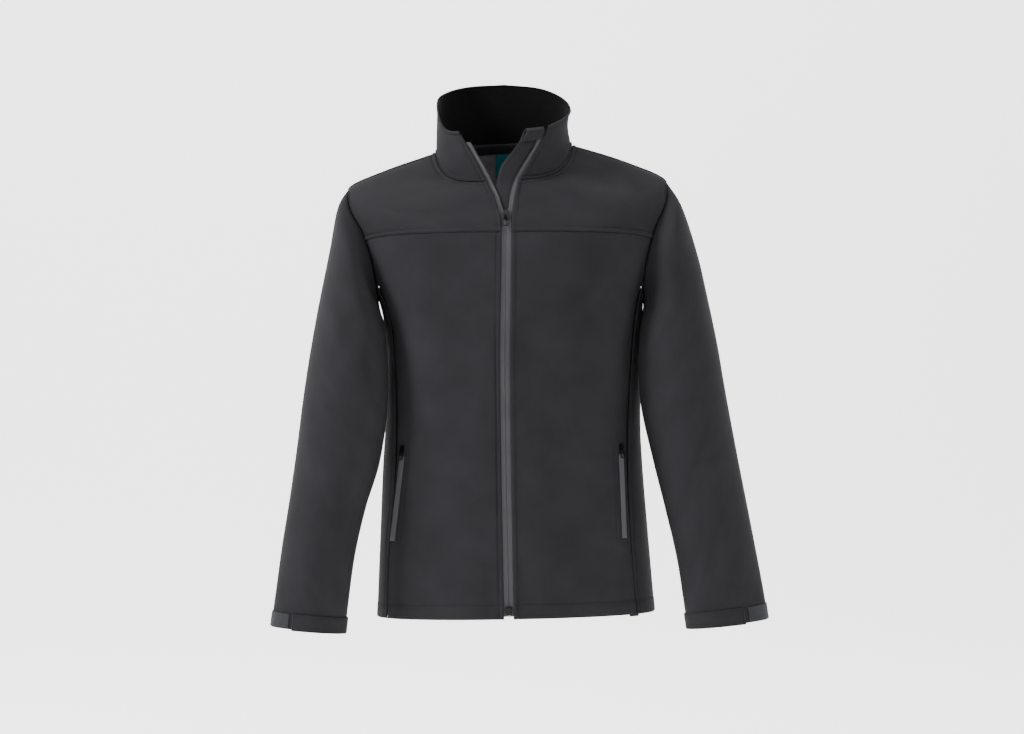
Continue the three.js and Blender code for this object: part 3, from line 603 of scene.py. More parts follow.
def object_from(bm: bmesh.types.BMesh, name: str, material: bpy.types.Material) -> bpy.types.Object:
    """Turns a finished bmesh into a smooth object at the origin."""
    for face in bm.faces:
        face.smooth = True
    mesh = bpy.data.meshes.new(name)
    bm.to_mesh(mesh)
    bm.free()
    obj = bpy.data.objects.new(name, mesh)
    bpy.context.scene.collection.objects.link(obj)
    obj.data.materials.append(material)
    return obj


def add_bead(bm: bmesh.types.BMesh, middle: Vector, turn: Matrix,
             size: tuple[float, float, float]) -> None:
    """Adds a small rounded bead, such as a stitch or a tooth.

    Args:
        bm: The mesh that takes it.
        middle: Its middle, in millimetres.
        turn: How its own axes are turned.
        size: Half its size along them, in millimetres.
    """
    stretch = Matrix.Diagonal((*size, 1)) @ Matrix.Scale(MM, 4)
    bmesh.ops.create_icosphere(bm, subdivisions=1, radius=1.0,
                               matrix=Matrix.Translation(middle * MM) @ turn @ stretch)


# Threads run lengthwise, and the cloth's tone wanders over stretches of about 70 mm
THREAD_SLENDERNESS = 0.35
BLOTCHES_PER_METRE = 14.0
CLOTH_GLEAM = 0.06
SHEEN_SPREAD = 0.45
# Finger marks on the plastic are about a millimetre wide
SMUDGES_PER_METRE = 900.0
PLASTIC_GLEAM = 0.18


@dataclass(frozen=True)
class ClothFinish:
    """A woven or knitted cloth: its colour, threads and sheen."""

    name: str
    colour: str
    light_colour: str
    thread: float
    relief: float
    roughness: float
    sheen: float
    on_surface: bool = True

    def build(self) -> bpy.types.Material:
        """Makes the material, with its threads along the piece's own cloth direction."""
        material = bpy.data.materials.new(self.name)
        material.use_nodes = True
        tree = material.node_tree
        shader = tree.nodes["Principled BSDF"]
        if self.on_surface:
            place = add_node(tree, "ShaderNodeUVMap", uv_map="cloth").outputs["UV"]
        else:
            place = add_node(tree, "ShaderNodeTexCoord").outputs["Object"]
        per_metre = 1 / (self.thread * MM)
        threads = add_node(tree, "ShaderNodeMapping", {
            "Vector": place, "Scale": (per_metre * THREAD_SLENDERNESS, per_metre, per_metre)})
        grain = add_node(tree, "ShaderNodeTexNoise", {
            "Vector": threads.outputs["Vector"], "Scale": 1.0, "Detail": 3.0, "Roughness": 0.6})
        crossing = add_node(tree, "ShaderNodeMapping", {
            "Vector": place, "Scale": (per_metre, per_metre * THREAD_SLENDERNESS, per_metre)})
        weft = add_node(tree, "ShaderNodeTexNoise", {
            "Vector": crossing.outputs["Vector"], "Scale": 1.0, "Detail": 2.0, "Roughness": 0.5})
        woven = add_node(tree, "ShaderNodeMath", {0: grain.outputs["Fac"], 1: weft.outputs["Fac"]},
                         operation="MULTIPLY_ADD")
        woven.inputs[2].default_value = 0.25
        wide = add_node(tree, "ShaderNodeTexNoise", {
            "Vector": place, "Scale": BLOTCHES_PER_METRE, "Detail": 4.0, "Roughness": 0.55})
        blend = add_node(tree, "ShaderNodeMath", {0: wide.outputs["Fac"], 1: grain.outputs["Fac"]},
                         operation="MULTIPLY")
        ramp = add_node(tree, "ShaderNodeValToRGB", {"Fac": blend.outputs[0]})
        ends = ((0.05, self.colour), (0.5, self.light_colour))
        for stop, (position, colour) in zip(ramp.color_ramp.elements, ends):
            stop.position = position
            stop.color = to_linear(colour)
        bump = add_node(tree, "ShaderNodeBump", {
            "Height": woven.outputs[0], "Strength": self.relief, "Distance": self.thread * MM})
        tree.links.new(ramp.outputs["Color"], shader.inputs["Base Color"])
        tree.links.new(bump.outputs["Normal"], shader.inputs["Normal"])
        shader.inputs["Roughness"].default_value = self.roughness
        shader.inputs["Sheen Weight"].default_value = self.sheen
        shader.inputs["Sheen Roughness"].default_value = SHEEN_SPREAD
        shader.inputs["Specular IOR Level"].default_value = CLOTH_GLEAM
        return material


@dataclass(frozen=True)
class MouldedFinish:
    """Glossy moulded plastic with faint wear."""

    name: str
    colour: str
    worn_colour: str
    roughness: float

    def build(self) -> bpy.types.Material:
        """Makes the material, with an uneven gloss."""
        material = bpy.data.materials.new(self.name)
        material.use_nodes = True
        tree = material.node_tree
        shader = tree.nodes["Principled BSDF"]
        place = add_node(tree, "ShaderNodeTexCoord").outputs["Object"]
        smudge = add_node(tree, "ShaderNodeTexNoise", {
            "Vector": place, "Scale": SMUDGES_PER_METRE, "Detail": 3.0})
        gloss = add_node(tree, "ShaderNodeMapRange", {
            "Value": smudge.outputs["Fac"], "From Min": 0.3, "From Max": 0.7,
            "To Min": self.roughness * 0.8, "To Max": self.roughness * 1.4})
        tint = add_node(tree, "ShaderNodeValToRGB", {"Fac": smudge.outputs["Fac"]})
        tint.color_ramp.elements[0].color = to_linear(self.colour)
        tint.color_ramp.elements[1].color = to_linear(self.worn_colour)
        tree.links.new(tint.outputs["Color"], shader.inputs["Base Color"])
        tree.links.new(gloss.outputs["Result"], shader.inputs["Roughness"])
        shader.inputs["Specular IOR Level"].default_value = PLASTIC_GLEAM
        return material


@dataclass
class Cloth:
    """One sewn panel: its grid, how its edges are finished, and its thickness."""

    name: str
    skin: Skin
    thickness: float = CLOTH
    lift: float = 0.0
    stitched: tuple[bool, bool, bool, bool] = NO_EDGE
    sewn: tuple[bool, bool, bool, bool] = EVERY_EDGE
    hem_at_row: int | None = None
    around: bool = False
    across: np.ndarray = field(init=False)
    up: np.ndarray = field(init=False)
    points: np.ndarray = field(init=False)

    def __post_init__(self) -> None:
        """Measures the grid and raises its seams."""
        point = self.skin.point
        across = np.linalg.norm(np.diff(point, axis=1), axis=-1)
        up = np.linalg.norm(np.diff(point, axis=0), axis=-1)
        self.across = np.pad(np.cumsum(across, axis=1), ((0, 0), (1, 0)))
        self.up = np.pad(np.cumsum(up, axis=0), ((1, 0), (0, 0)))
        width, height = self.across[:, -1:], self.up[-1:, :]
        distances = (self.across, width - self.across, self.up, height - self.up)
        relief = np.zeros(point.shape[:2])
        for distance, stitched, sewn in zip(distances, self.stitched, self.sewn):
            if sewn:
                relief += seam_relief(distance, stitched)
        if self.hem_at_row is not None:
            from_hem = self.up if self.hem_at_row == 0 else height - self.up
            relief += np.interp(from_hem, HEM_PROFILE["distance"], HEM_PROFILE["lift"])
        point = self.skin.moved(relief + self.lift)
        self.points = point if self.around else self.trim(point)

    def trim(self, point: np.ndarray) -> np.ndarray:
        """Moves the sewn edges in by half a seam gap."""
        moved = point.copy()
        pairs = ((np.s_[:, 0], np.s_[:, 1]), (np.s_[:, -1], np.s_[:, -2]),
                 (np.s_[0, :], np.s_[1, :]), (np.s_[-1, :], np.s_[-2, :]))
        for (edge, inner), sewn in zip(pairs, self.sewn):
            if not sewn:
                continue
            step = point[inner] - point[edge]
            step /= np.maximum(np.linalg.norm(step, axis=-1, keepdims=True), 1e-6)
            moved[edge] += step * SEAM_GAP / 2
        return moved

    def flat_size(self) -> tuple[float, float, float]:
        """Gives the cut's width and length in metres and its area in square metres."""
        width, height = self.across[:, -1].max(), self.up[-1, :].max()
        u = np.diff(self.points, axis=1)[:-1]
        v = np.diff(self.points, axis=0)[:, :-1]
        area = np.linalg.norm(np.cross(u, v), axis=-1).sum()
        return width * MM, height * MM, area * MM * MM

    def build(self, material: bpy.types.Material) -> bpy.types.Object:
        """Makes the panel's mesh and gives it its thickness.

        Args:
            material: The cloth's finish.

        Returns:
            The panel as an object at the origin.
        """
        rows, columns = self.points.shape[:2]
        bm = bmesh.new()
        bmesh.ops.create_grid(bm, x_segments=columns - 1, y_segments=rows - 1, size=0.5)
        layer = bm.loops.layers.uv.new("cloth")
        bm.verts.index_update()
        cell = [(round((vert.co.y + 0.5) * (rows - 1)), round((vert.co.x + 0.5) * (columns - 1)))
                for vert in bm.verts]
        for face in bm.faces:
            for loop in face.loops:
                j, i = cell[loop.vert.index]
                loop[layer].uv = (self.across[j, i] * MM, self.up[j, i] * MM)
        for vert in bm.verts:
            j, i = cell[vert.index]
            vert.co = Vector(self.points[j, i]) * MM
        if self.around:
            bmesh.ops.remove_doubles(bm, verts=bm.verts, dist=1e-6)
        obj = object_from(bm, self.name, material)
        solid = obj.modifiers.new("thickness", "SOLIDIFY")
        solid.thickness = self.thickness * MM
        solid.offset = -1.0
        return obj

    def row_at(self, distance: float, from_end: bool = False) -> np.ndarray:
        """Gives the grid line nearest to a distance from the first or last row's edge."""
        lines = self.up[:, self.up.shape[1] // 2]
        target = lines[-1] - distance if from_end else distance
        return self.points[int(np.argmin(np.abs(lines - target)))]

    def column_at(self, distance: float, from_end: bool = False) -> np.ndarray:
        """Gives the grid line nearest to a distance from the first or last column's edge."""
        lines = self.across[self.across.shape[0] // 2]
        target = lines[-1] - distance if from_end else distance
        return self.points[:, int(np.argmin(np.abs(lines - target)))]


@dataclass
class Stitching:
    """Lockstitch lines: short thread humps sunk half into the cloth."""

    name: str
    lines: tuple[np.ndarray, ...]
    pitch: float = 3.4
    length: float = 2.6
    thread: float = 0.42
    lead_in: float = 0.1

    def build(self, material: bpy.types.Material) -> bpy.types.Object:
        """Makes all the stitches as one mesh."""
        bm = bmesh.new()
        for line in self.lines:
            run = run_along(line)
            for k in range(int(run[-1] / self.pitch)):
                start = (k + self.lead_in) * self.pitch
                a = Vector(point_at(line, run, start))
                b = Vector(point_at(line, run, start + self.length))
                turn = (b - a).to_track_quat("Z", "Y").to_matrix().to_4x4()
                add_bead(bm, (a + b) / 2, turn, (self.thread, self.thread, self.length / 2))
        return object_from(bm, self.name, material)


def finish_cloth(cloth: Cloth, finish: bpy.types.Material, nodes: list[str],
                 rests_on: list[str] | None = None) -> bpy.types.Object:
    """Builds a panel, joins it to the body, and logs the size of its cut.

    Args:
        cloth: The panel.
        finish: Its material.
        nodes: The solids that it stands for.
        rests_on: What carries it, where it is a layer on another piece; not used.

    Returns:
        The panel's object.
    """
    obj = cloth.build(finish)
    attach(obj, "root")
    if nodes:
        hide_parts(*nodes)
    width, height, area = cloth.flat_size()
    width = max(width, NARROWEST_SHEET)
    log.info("%s: cut %.0f x %.0f mm, %d faces", cloth.name, width / MM, height / MM,
             len(obj.data.polygons))
    return obj


def lines_from_hem(length: float, spacing: float, top_sewn: bool = True) -> np.ndarray:
    """Places rows along a panel that ends in a hem, close together at hem and seam."""
    lines = HEM_LINES + list(np.arange(HEM_LINES[-1] + spacing, length - SEAM_LINES[-1], spacing))
    if top_sewn:
        lines += [length - distance for distance in reversed(SEAM_LINES)]
    return np.array([0.0, *lines, length]) / length


@dataclass
class Bodice:
    """Fronts, yokes, side panels and back.

    Widths and lengths are rough ones, in millimetres, that only set how close the grids' lines
    lie. The tape fields are for the tapes inside the side seams: their reach either side of the
    seam, their depth under the cloth's outer face, and their rows.
    """

    spacing: float = 6.0
    front_width: float = 205
    front_length: float = 556
    side_width: float = 140
    side_length: float = 496
    back_width: float = 430
    front_armhole: float = 112
    back_armhole: float = 170
    shoulder: float = 150
    tape_reach: float = 10.0
    tape_depth: float = CLOTH + 1.4
    tape_rows: int = 45

    def front(self, side: Side) -> Cloth:
        """Lays out a front, from hem to yoke seam."""
        share = spread(self.front_width, self.spacing, SEAM_LINES, (True, True))
        level = mix(HEM_LEVEL, ARMHOLE_LEVEL, lines_from_hem(self.front_length, self.spacing))
        level, share = np.meshgrid(level, share, indexing="ij")
        turn = np.minimum(armhole_turn(level), SIDE_SEAM_TURN)
        side_angle = np.where(level > SIDE_TOP_LEVEL, side.value * armhole_angle(turn),
                              front_seam_angle(side, np.minimum(level, SIDE_TOP_LEVEL - 0.01)))
        here = front_level(level, share)
        angle = mix(front_edge_angle(side, here), side_angle, share)
        return self.panel(f"cloth_front_{side.label}", side, angle, here,
                          (True, False, False, False), hem_at_row=0)

    def yoke(self, side: Side) -> Cloth:
        """Lays out a front yoke, from its seam over the shoulder's front to the neck."""
        share = spread(self.front_width, self.spacing, SEAM_LINES, (True, True))
        climb = spread(self.front_armhole, self.spacing, SEAM_LINES, (True, False))
        turns = YOKE_TURN * (1 - climb)
        above = self.shoulder_levels()
        level = np.concatenate([armhole_level(turns), above])
        side_angle = side.value * np.concatenate([armhole_angle(turns), np.full(len(above), 90.0)])
        level, share = np.meshgrid(level, share, indexing="ij")
        here = front_level(level, share)
        angle = mix(front_edge_angle(side, here), side_angle[:, None], share)
        return self.panel(f"cloth_yoke_{side.label}", side, angle, here, EVERY_EDGE)

    def shoulder_levels(self) -> np.ndarray:
        """Gives the levels above the shoulder's end, up to the neck seam."""
        climb = spread(self.shoulder, self.spacing, SEAM_LINES, (False, True))
        return mix(SHOULDER_LEVEL, NECK_LEVEL, climb)[1:]

    def side_panel(self, side: Side) -> Cloth:
        """Lays out a side panel, from hem to armhole."""
        share = spread(self.side_width, self.spacing, SEAM_LINES, (True, True))
        climb = lines_from_hem(self.side_length, self.spacing)
        climb, share = np.meshgrid(climb, share, indexing="ij")
        level = mix(HEM_LEVEL, SIDE_TOP_LEVEL, climb)
        turn = mix(SIDE_SEAM_TURN, 360 - SIDE_SEAM_TURN, share)
        here = mix(HEM_LEVEL, armhole_level(turn), climb)
        front = front_seam_angle(side, level)
        lower = mix(front, side.value * 180 - front, share)
        angle = mix(lower, side.value * armhole_angle(turn), climb ** 3)
        piece = self.panel(f"cloth_side_{side.label}", side, angle, here,
                           (True, True, False, False), hem_at_row=0)
        swell = np.interp(piece.points[..., 2], UNDERARM_SWELL["z"], UNDERARM_SWELL["lift"])
        swell *= np.sin(np.pi * share) ** 2
        piece.points += piece.skin.out * swell[..., None]
        return piece

    def seam_binding(self, first: Cloth, second: Cloth) -> Cloth:
        """Lays out the tape that covers a side seam from inside.

        Args:
            first: The panel whose last column meets the seam.
            second: The next panel round the body.

        Returns:
            The tape, under both panels' edges.
        """
        above_panel, above_hem = 12, 0.4
        top = min(first.points[-1, -1, 2], second.points[-1, 0, 2]) + above_panel
        height = np.linspace(HEM_LEVEL + above_hem, top, self.tape_rows)
        lines = []
        for cloth, distance in ((first, self.tape_reach), (first, 0.0), (second, self.tape_reach)):
            run = cloth.across[0]
            from_seam = run[-1] - run if cloth is first else run
            column = int(np.argmin(np.abs(from_seam - distance)))
            line = cloth.skin.moved(-self.tape_depth)[:, column]
            lines.append(np.stack([np.interp(height, line[:, 2], line[:, axis])
                                   for axis in (0, 1)] + [height], axis=-1))
        return Cloth(f"{first.name}_binding", grid_skin(np.stack(lines, axis=1)),
                     thickness=BINDING, sewn=NO_EDGE)

    def back(self) -> Cloth:
        """Lays out the back, from hem over the shoulders' back to the neck."""
        share = spread(self.back_width, self.spacing, SEAM_LINES, (True, True))
        climb = lines_from_hem(self.side_length, self.spacing, top_sewn=False)
        low = mix(HEM_LEVEL, SIDE_TOP_LEVEL, climb)
        climb = spread(self.back_armhole, self.spacing, SEAM_LINES, (False, False))
        turns = mix(360 - SIDE_SEAM_TURN, 360.0, climb)[1:]
        above = self.shoulder_levels()
        right = np.concatenate([180 - front_seam_angle(Side.RIGHT, low), armhole_angle(turns),
                                np.full(len(above), 90.0)])
        left = np.concatenate([180 - front_seam_angle(Side.LEFT, low), 360 - armhole_angle(turns),
                               np.full(len(above), 270.0)])
        level = np.concatenate([low, armhole_level(turns), above])
        level, share = np.meshgrid(level, share, indexing="ij")
        skin = body_skin(mix(right[:, None], left[:, None], share), level)
        return Cloth("cloth_back", skin, hem_at_row=0)

    def panel(self, name: str, side: Side, angle: np.ndarray, level: np.ndarray,
              stitched: tuple[bool, bool, bool, bool], hem_at_row: int | None = None) -> Cloth:
        """Makes a panel whose columns run from its front edge to its back edge.

        Args:
            name: The piece's name.
            side: Which side of the zip it lies on.
            angle: Angles round the body.
            level: Levels of the body's sections.
            stitched: Which of the front, back, bottom and top edges are topstitched.
            hem_at_row: 0 where the first row is a hem.

        Returns:
            The panel, with its columns in the order in which its faces point out.
        """
        skin = body_skin(angle, level)
        near, far, low, high = stitched
        if side is Side.LEFT:
            skin = Skin(skin.point[:, ::-1], skin.out[:, ::-1])
            near, far = far, near
        return Cloth(name, skin, stitched=(near, far, low, high), hem_at_row=hem_at_row)


@dataclass
class Sleeve:
    """A set-in sleeve with its cuff strap and the loop patch under the strap's end."""

    side: Side
    length: float = 655
    spacing: float = 6.0
    columns: int = 66
    binding_depth: float = CLOTH + 0.2
    mm_per_degree: float = 1.05
    strap: tuple[float, float, float, float] = (66, 216, -2, 23)
    patch: tuple[float, float, float, float] = (-36, 60, 1, 22)

    def along_at(self, distance_from_cuff: np.ndarray) -> np.ndarray:
        """Gives the place along the sleeve at a distance from its cuff in millimetres."""
        along = np.linspace(0, 1, 401)
        lines = sleeve_points(self.side, np.arange(0.0, 360, 30), along)
        steps = np.linalg.norm(np.diff(lines, axis=0), axis=-1).mean(axis=1)
        run = np.pad(np.cumsum(steps), (1, 0))
        return np.interp(run[-1] - distance_from_cuff, run, along,
                         right=1 + (np.max(-np.asarray(distance_from_cuff)) / run[-1]))

    def ordered(self, skin: Skin) -> Skin:
        """Puts the columns in the order in which faces point out."""
        if self.side is Side.RIGHT:
            return skin
        return Skin(skin.point[:, ::-1], skin.out[:, ::-1])

    def tube(self) -> Cloth:
        """Lays out the sleeve from armhole to cuff."""
        turns = np.linspace(0, 360, self.columns + 1)
        rows = lines_from_hem(self.length, self.spacing)[::-1] * self.length
        skin = self.ordered(sleeve_skin(self.side, turns, self.along_at(rows)))
        return Cloth(f"cloth_sleeve_{self.side.label}", skin, sewn=(False, False, True, True),
                     hem_at_row=1, around=True)

    def armhole_binding(self) -> Cloth:
        """Lays out the binding that covers the armhole's seam from inside."""
        turns = np.linspace(0, 360, self.columns + 1)
        skin = sleeve_skin(self.side, turns, np.array([0.004, 0.008, 0.012]))
        edge, step = skin.point[0], skin.point[0] - skin.point[2]
        step /= np.linalg.norm(step, axis=-1, keepdims=True)
        inside, slope = skin.out[0], 0.35
        under_body = [edge + step * reach - inside * (self.binding_depth + reach * slope)
                      for reach in (9.0, 5.0)]
        point = np.concatenate([np.stack(under_body), skin.moved(-self.binding_depth)])
        strip = self.ordered(Skin(point, np.stack([inside] * 2 + list(skin.out))))
        return Cloth(f"cloth_armhole_binding_{self.side.label}", strip, thickness=BINDING,
                     sewn=NO_EDGE, around=True)

    def band(self, name: str, place: tuple[float, float, float, float], thickness: float,
             stitched: bool) -> Cloth:
        """Lays out a strip round part of the cuff.

        Args:
            name: The piece's name.
            place: Its turns from and to, and its heights above the cuff's edge.
            thickness: Its thickness in millimetres.
            stitched: Whether it is stitched all round.

        Returns:
            The strip, just outside the sleeve.
        """
        start, end, low, high = place
        length = (end - start) * self.mm_per_degree
        turns = mix(start, end, spread(length, self.spacing, BAND_LINES, (True, True)))
        rows = mix(high, low, spread(high - low, 4.0, BAND_LINES, (True, True)))
        along = self.along_at(np.maximum(rows, 0.0))
        skin = sleeve_skin(self.side, turns, along)
        below = np.minimum(rows, 0.0)[:, None]
        skin.point[..., 2] += below
        edge = HEM_PROFILE["lift"][0]
        return Cloth(name, self.ordered(skin), thickness=thickness,
                     lift=thickness + SEAM_GAP + edge, sewn=EVERY_EDGE if stitched else NO_EDGE)


@dataclass
class Neck:
    """Stand collar, its facing, the lining of the back neck and the bare label.

    Angles run round the neck, levels and x are in millimetres.
    """

    spacing: float = 6.0
    height: float = 88
    quarter: float = 90
    facing_top: float = 0.985
    lining_angles: tuple[float, float] = (123.75, 236.25)
    binding_angles: tuple[float, float] = (82, 278)
    label_levels: tuple[float, float] = (-29, 4)
    label_x: tuple[float, float] = (20, -19)

    def angles(self, rise: np.ndarray, inset: float) -> np.ndarray:
        """Gives the angles round the neck at each rise, from one front edge to the other."""
        ends = {side: collar_angle_at_x(value_at(COLLAR_EDGE, "rise", side.label, rise)
                                        + side.value * inset)[:, None] for side in Side}
        front = spread(self.quarter, self.spacing, SEAM_LINES, (True, False))[None]
        back = np.linspace(90, 270, 31)[None, 1:] * np.ones((len(rise), 1))
        return np.concatenate([mix(ends[Side.RIGHT], 90, front), back,
                               mix(270, 360 + ends[Side.LEFT], 1 - front[:, ::-1])[:, 1:]], axis=1)

    def stand(self, name: str, inset: float = 0.0, top: float = 1.0, thickness: float = CLOTH,
              lift: float = 0.0, stitched: tuple[bool, bool, bool, bool] = NO_EDGE) -> Cloth:
        """Lays out one layer of the collar.

        Args:
            name: The piece's name.
            inset: How far its front edges stand back.
            top: The rise of its upper edge, as a share of the collar's.
            thickness: Its thickness in millimetres.
            lift: Where its outer face lies from the collar's outer face.
            stitched: Which edges are topstitched.

        Returns:
            The layer.
        """
        rise = spread(self.height, self.spacing, SEAM_LINES, (True, True)) * top
        angle = self.angles(rise, inset)
        skin = collar_skin(angle, np.broadcast_to(rise[:, None], angle.shape))
        return Cloth(name, skin, thickness=thickness, lift=lift, stitched=stitched)

    def lining(self) -> Cloth:
        """Lays out the lining inside the back neck."""
        level, angle = np.meshgrid(mix(SHOULDER_LEVEL, NECK_LEVEL, np.linspace(0, 1, 17)),
                                   np.linspace(*self.lining_angles, 33), indexing="ij")
        return Cloth("cloth_neck_lining", body_skin(angle, level), thickness=FACING,
                     lift=-CLOTH - SEAM_GAP, sewn=NO_EDGE)

    def binding(self) -> Cloth:
        """Lays out the narrow binding that covers the back neck seam from inside."""
        angle = np.linspace(*self.binding_angles, 55)
        inside = CLOTH + FACING + LAYER_GAP + 0.4
        body = body_skin(angle[None], NECK_LEVEL - np.array([[6.0], [4.0], [2.0]]))
        collar = collar_skin(angle[None], np.array([[0.02], [0.045], [0.07]]))
        point = np.concatenate([body.moved(-inside), collar.moved(-inside)])
        return Cloth("cloth_neck_binding", grid_skin(point), thickness=NECK_BINDING, sewn=NO_EDGE)

    def label(self) -> Cloth:
        """Lays out the bare label below the neck seam."""
        level, x = np.meshgrid(np.linspace(*self.label_levels, 15),
                               np.linspace(*self.label_x, 13), indexing="ij")
        return Cloth("cloth_neck_label", body_skin(180 - angle_at_x(x, level), level),
                     thickness=LABEL, lift=-CLOTH - FACING - SEAM_GAP - LAYER_GAP, sewn=NO_EDGE)


def strip_levels(lowest: float, spacing: float = 9.0) -> np.ndarray:
    """Gives the levels of a strip that runs up the front edge, from just above the hem."""
    return np.linspace(lowest, NECK_LEVEL - 3, int((NECK_LEVEL - lowest) / spacing))


def up_front_edge(x_on_body: Callable, x_on_collar: Callable, lowest: float,
                  rises: np.ndarray) -> Skin:
    """Lays out a strip that runs up the front and on up the collar.

    Args:
        x_on_body: Gives the columns' x at levels of the body.
        x_on_collar: Gives the columns' x at rises of the collar.
        lowest: The lowest level.
        rises: Rises of the rows on the collar.

    Returns:
        The strip's skin.
    """
    levels = strip_levels(lowest)
    here = front_level(levels, np.zeros_like(levels))
    here[0] = lowest
    x = x_on_body(here)
    body = body_skin(angle_at_x(x, here[:, None]), here[:, None] * np.ones_like(x))
    x = x_on_collar(rises)
    collar = collar_skin(collar_angle_at_x(x), rises[:, None] * np.ones_like(x))
    return Skin(np.concatenate([body.point, collar.point]), np.concatenate([body.out, collar.out]))


@dataclass
class FrontZip:
    """The front zip's tapes and teeth, and the guard behind them."""

    shown: float = 6.6
    hidden: float = 4.0
    top_rise: float = 0.78
    open_above: float = -84.0
    tooth: tuple[float, float, float] = (1.3, 0.55, 0.75)
    tooth_pitch: float = 2.0

    def tape(self, side: Side) -> Cloth:
        """Lays out the tape under one front's edge."""
        across = np.linspace(-self.shown, self.hidden, 8) * side.value

        def columns(edge: np.ndarray) -> np.ndarray:
            """Gives the x of the tape's columns beside the front's edge."""
            return edge[:, None] + (across if side is Side.RIGHT else across[::-1])

        skin = up_front_edge(
            lambda level: columns(value_at(OPENING, "level", side.label, level)),
            lambda rise: columns(value_at(COLLAR_EDGE, "rise", side.label, rise)),
            HEM_LEVEL + 4, np.linspace(0.06, self.top_rise, 9))
        return Cloth(f"cloth_zip_tape_{side.label}", skin, thickness=TAPE,
                     lift=-CLOTH - TAPE_DEPTH, sewn=NO_EDGE)

    def teeth(self, side: Side, tape: Cloth) -> list[tuple[Vector, Vector]]:
        """Gives the places and outward directions of the teeth on the open part of a tape.

        Args:
            side: Which tape.
            tape: The tape's cloth.

        Returns:
            Place and direction of each tooth, in millimetres.
        """
        column = 0 if side is Side.RIGHT else -1
        edge = tape.points[:, column]
        inner = tape.points[:, column + 1 if side is Side.RIGHT else column - 1]
        run = run_along(edge)
        first = np.interp(self.open_above, edge[:, 2], run)
        teeth = []
        for place in np.arange(first, run[-1], self.tooth_pitch):
            at, beside = point_at(edge, run, place), point_at(inner, run, place)
            away = (at - beside) / np.linalg.norm(at - beside)
            teeth.append((Vector(at), Vector(away)))
        return teeth

    def guard(self) -> Cloth:
        """Lays out the guard, with its top folded over the zip's end."""
        share = np.linspace(0, 1, 9)
        depth = CLOTH + TAPE_DEPTH + TAPE + LAYER_GAP

        def columns(rows: dict[str, np.ndarray], key: str) -> Callable:
            """Gives a function for the x of the guard's columns, at places in a table."""
            return lambda at: mix(value_at(rows, key, "left", at)[:, None],
                                  value_at(rows, key, "right", at)[:, None], share)

        on_collar = columns(GUARD_COLLAR, "rise")
        skin = up_front_edge(columns(GUARD_BODY, "level"), on_collar, HEM_LEVEL + 6,
                             np.linspace(0.06, 0.6, 7))
        under = skin.moved(-depth)
        turn = np.linspace(0, len(GUARD_LOOP["rise"]) - 1, 33)
        rows = np.arange(len(GUARD_LOOP["rise"]))
        rise, out = (np.interp(turn, rows, GUARD_LOOP[key]) for key in ("rise", "out"))
        x = on_collar(np.minimum(rise, 1))
        loop = collar_skin(collar_angle_at_x(x), rise[:, None] * np.ones_like(x))
        point = np.concatenate([under, loop.point + loop.out * out[:, None, None]])
        return Cloth("cloth_zip_guard", grid_skin(point), thickness=GUARD, sewn=NO_EDGE)


@dataclass
class PocketZip:
    """A pocket's zip tape on the front panel, and the stitching round it."""

    side: Side
    stitch_distances: tuple[float, float] = (2.2, 7.5)

    def place(self, share: np.ndarray) -> tuple[np.ndarray, np.ndarray]:
        """Gives x and height along the pocket, from its lower end to its upper end."""
        low, high = POCKETS[self.side]["bottom"], POCKETS[self.side]["top"]
        return mix(low[0], high[0], share), mix(low[1], high[1], share)

    def tape(self) -> Cloth:
        """Lays out the tape, with a groove down its middle where the coil closes."""
        share = np.linspace(0, 1, 41)
        across = POCKET_TAPE_WIDTH * np.array([-0.5, -0.38, -0.2, -0.07, 0, 0.07, 0.2, 0.38, 0.5])
        x, z = self.place(share)
        x = x[:, None] + across
        z = z[:, None] * np.ones_like(x)
        skin = body_skin(angle_at_x(x, z), z)
        groove = 0.25 * (np.abs(across) < 0.1)[None, :, None]
        grooved = Skin(skin.point - skin.out * groove, skin.out)
        return Cloth(f"cloth_pocket_tape_{self.side.label}", grooved, thickness=TAPE,
                     lift=TAPE + SEAM_GAP, sewn=NO_EDGE)

    def around(self, away: float) -> np.ndarray:
        """Gives a closed line on the front round the tape, at a distance from its edges."""
        half = POCKET_TAPE_WIDTH / 2 + away
        beyond = away / POCKET_LENGTH
        up = np.linspace(-beyond, 1 + beyond, 40)
        across = np.linspace(-half, half, 8)[1:-1]
        share = np.concatenate([up, np.full(6, up[-1]), up[::-1], np.full(6, up[0]), up[:1]])
        shift = np.concatenate([np.full(40, -half), across, np.full(40, half), across[::-1],
                                [-half]])
        x, z = self.place(share)
        skin = body_skin(angle_at_x(x + shift, z), z)
        return skin.moved(np.full(x.shape, 0.1))


@dataclass
class Teeth:
    """Moulded zip teeth along the open edges of the front zip."""

    name: str
    size: tuple[float, float, float]
    places: list[tuple[Vector, Vector]]

    def build(self, material: bpy.types.Material) -> bpy.types.Object:
        """Makes every tooth as a rounded bar across the tape's edge."""
        bm = bmesh.new()
        for at, away in self.places:
            turn = away.to_track_quat("X", "Z").to_matrix().to_4x4()
            add_bead(bm, at, turn, self.size)
        return object_from(bm, self.name, material)


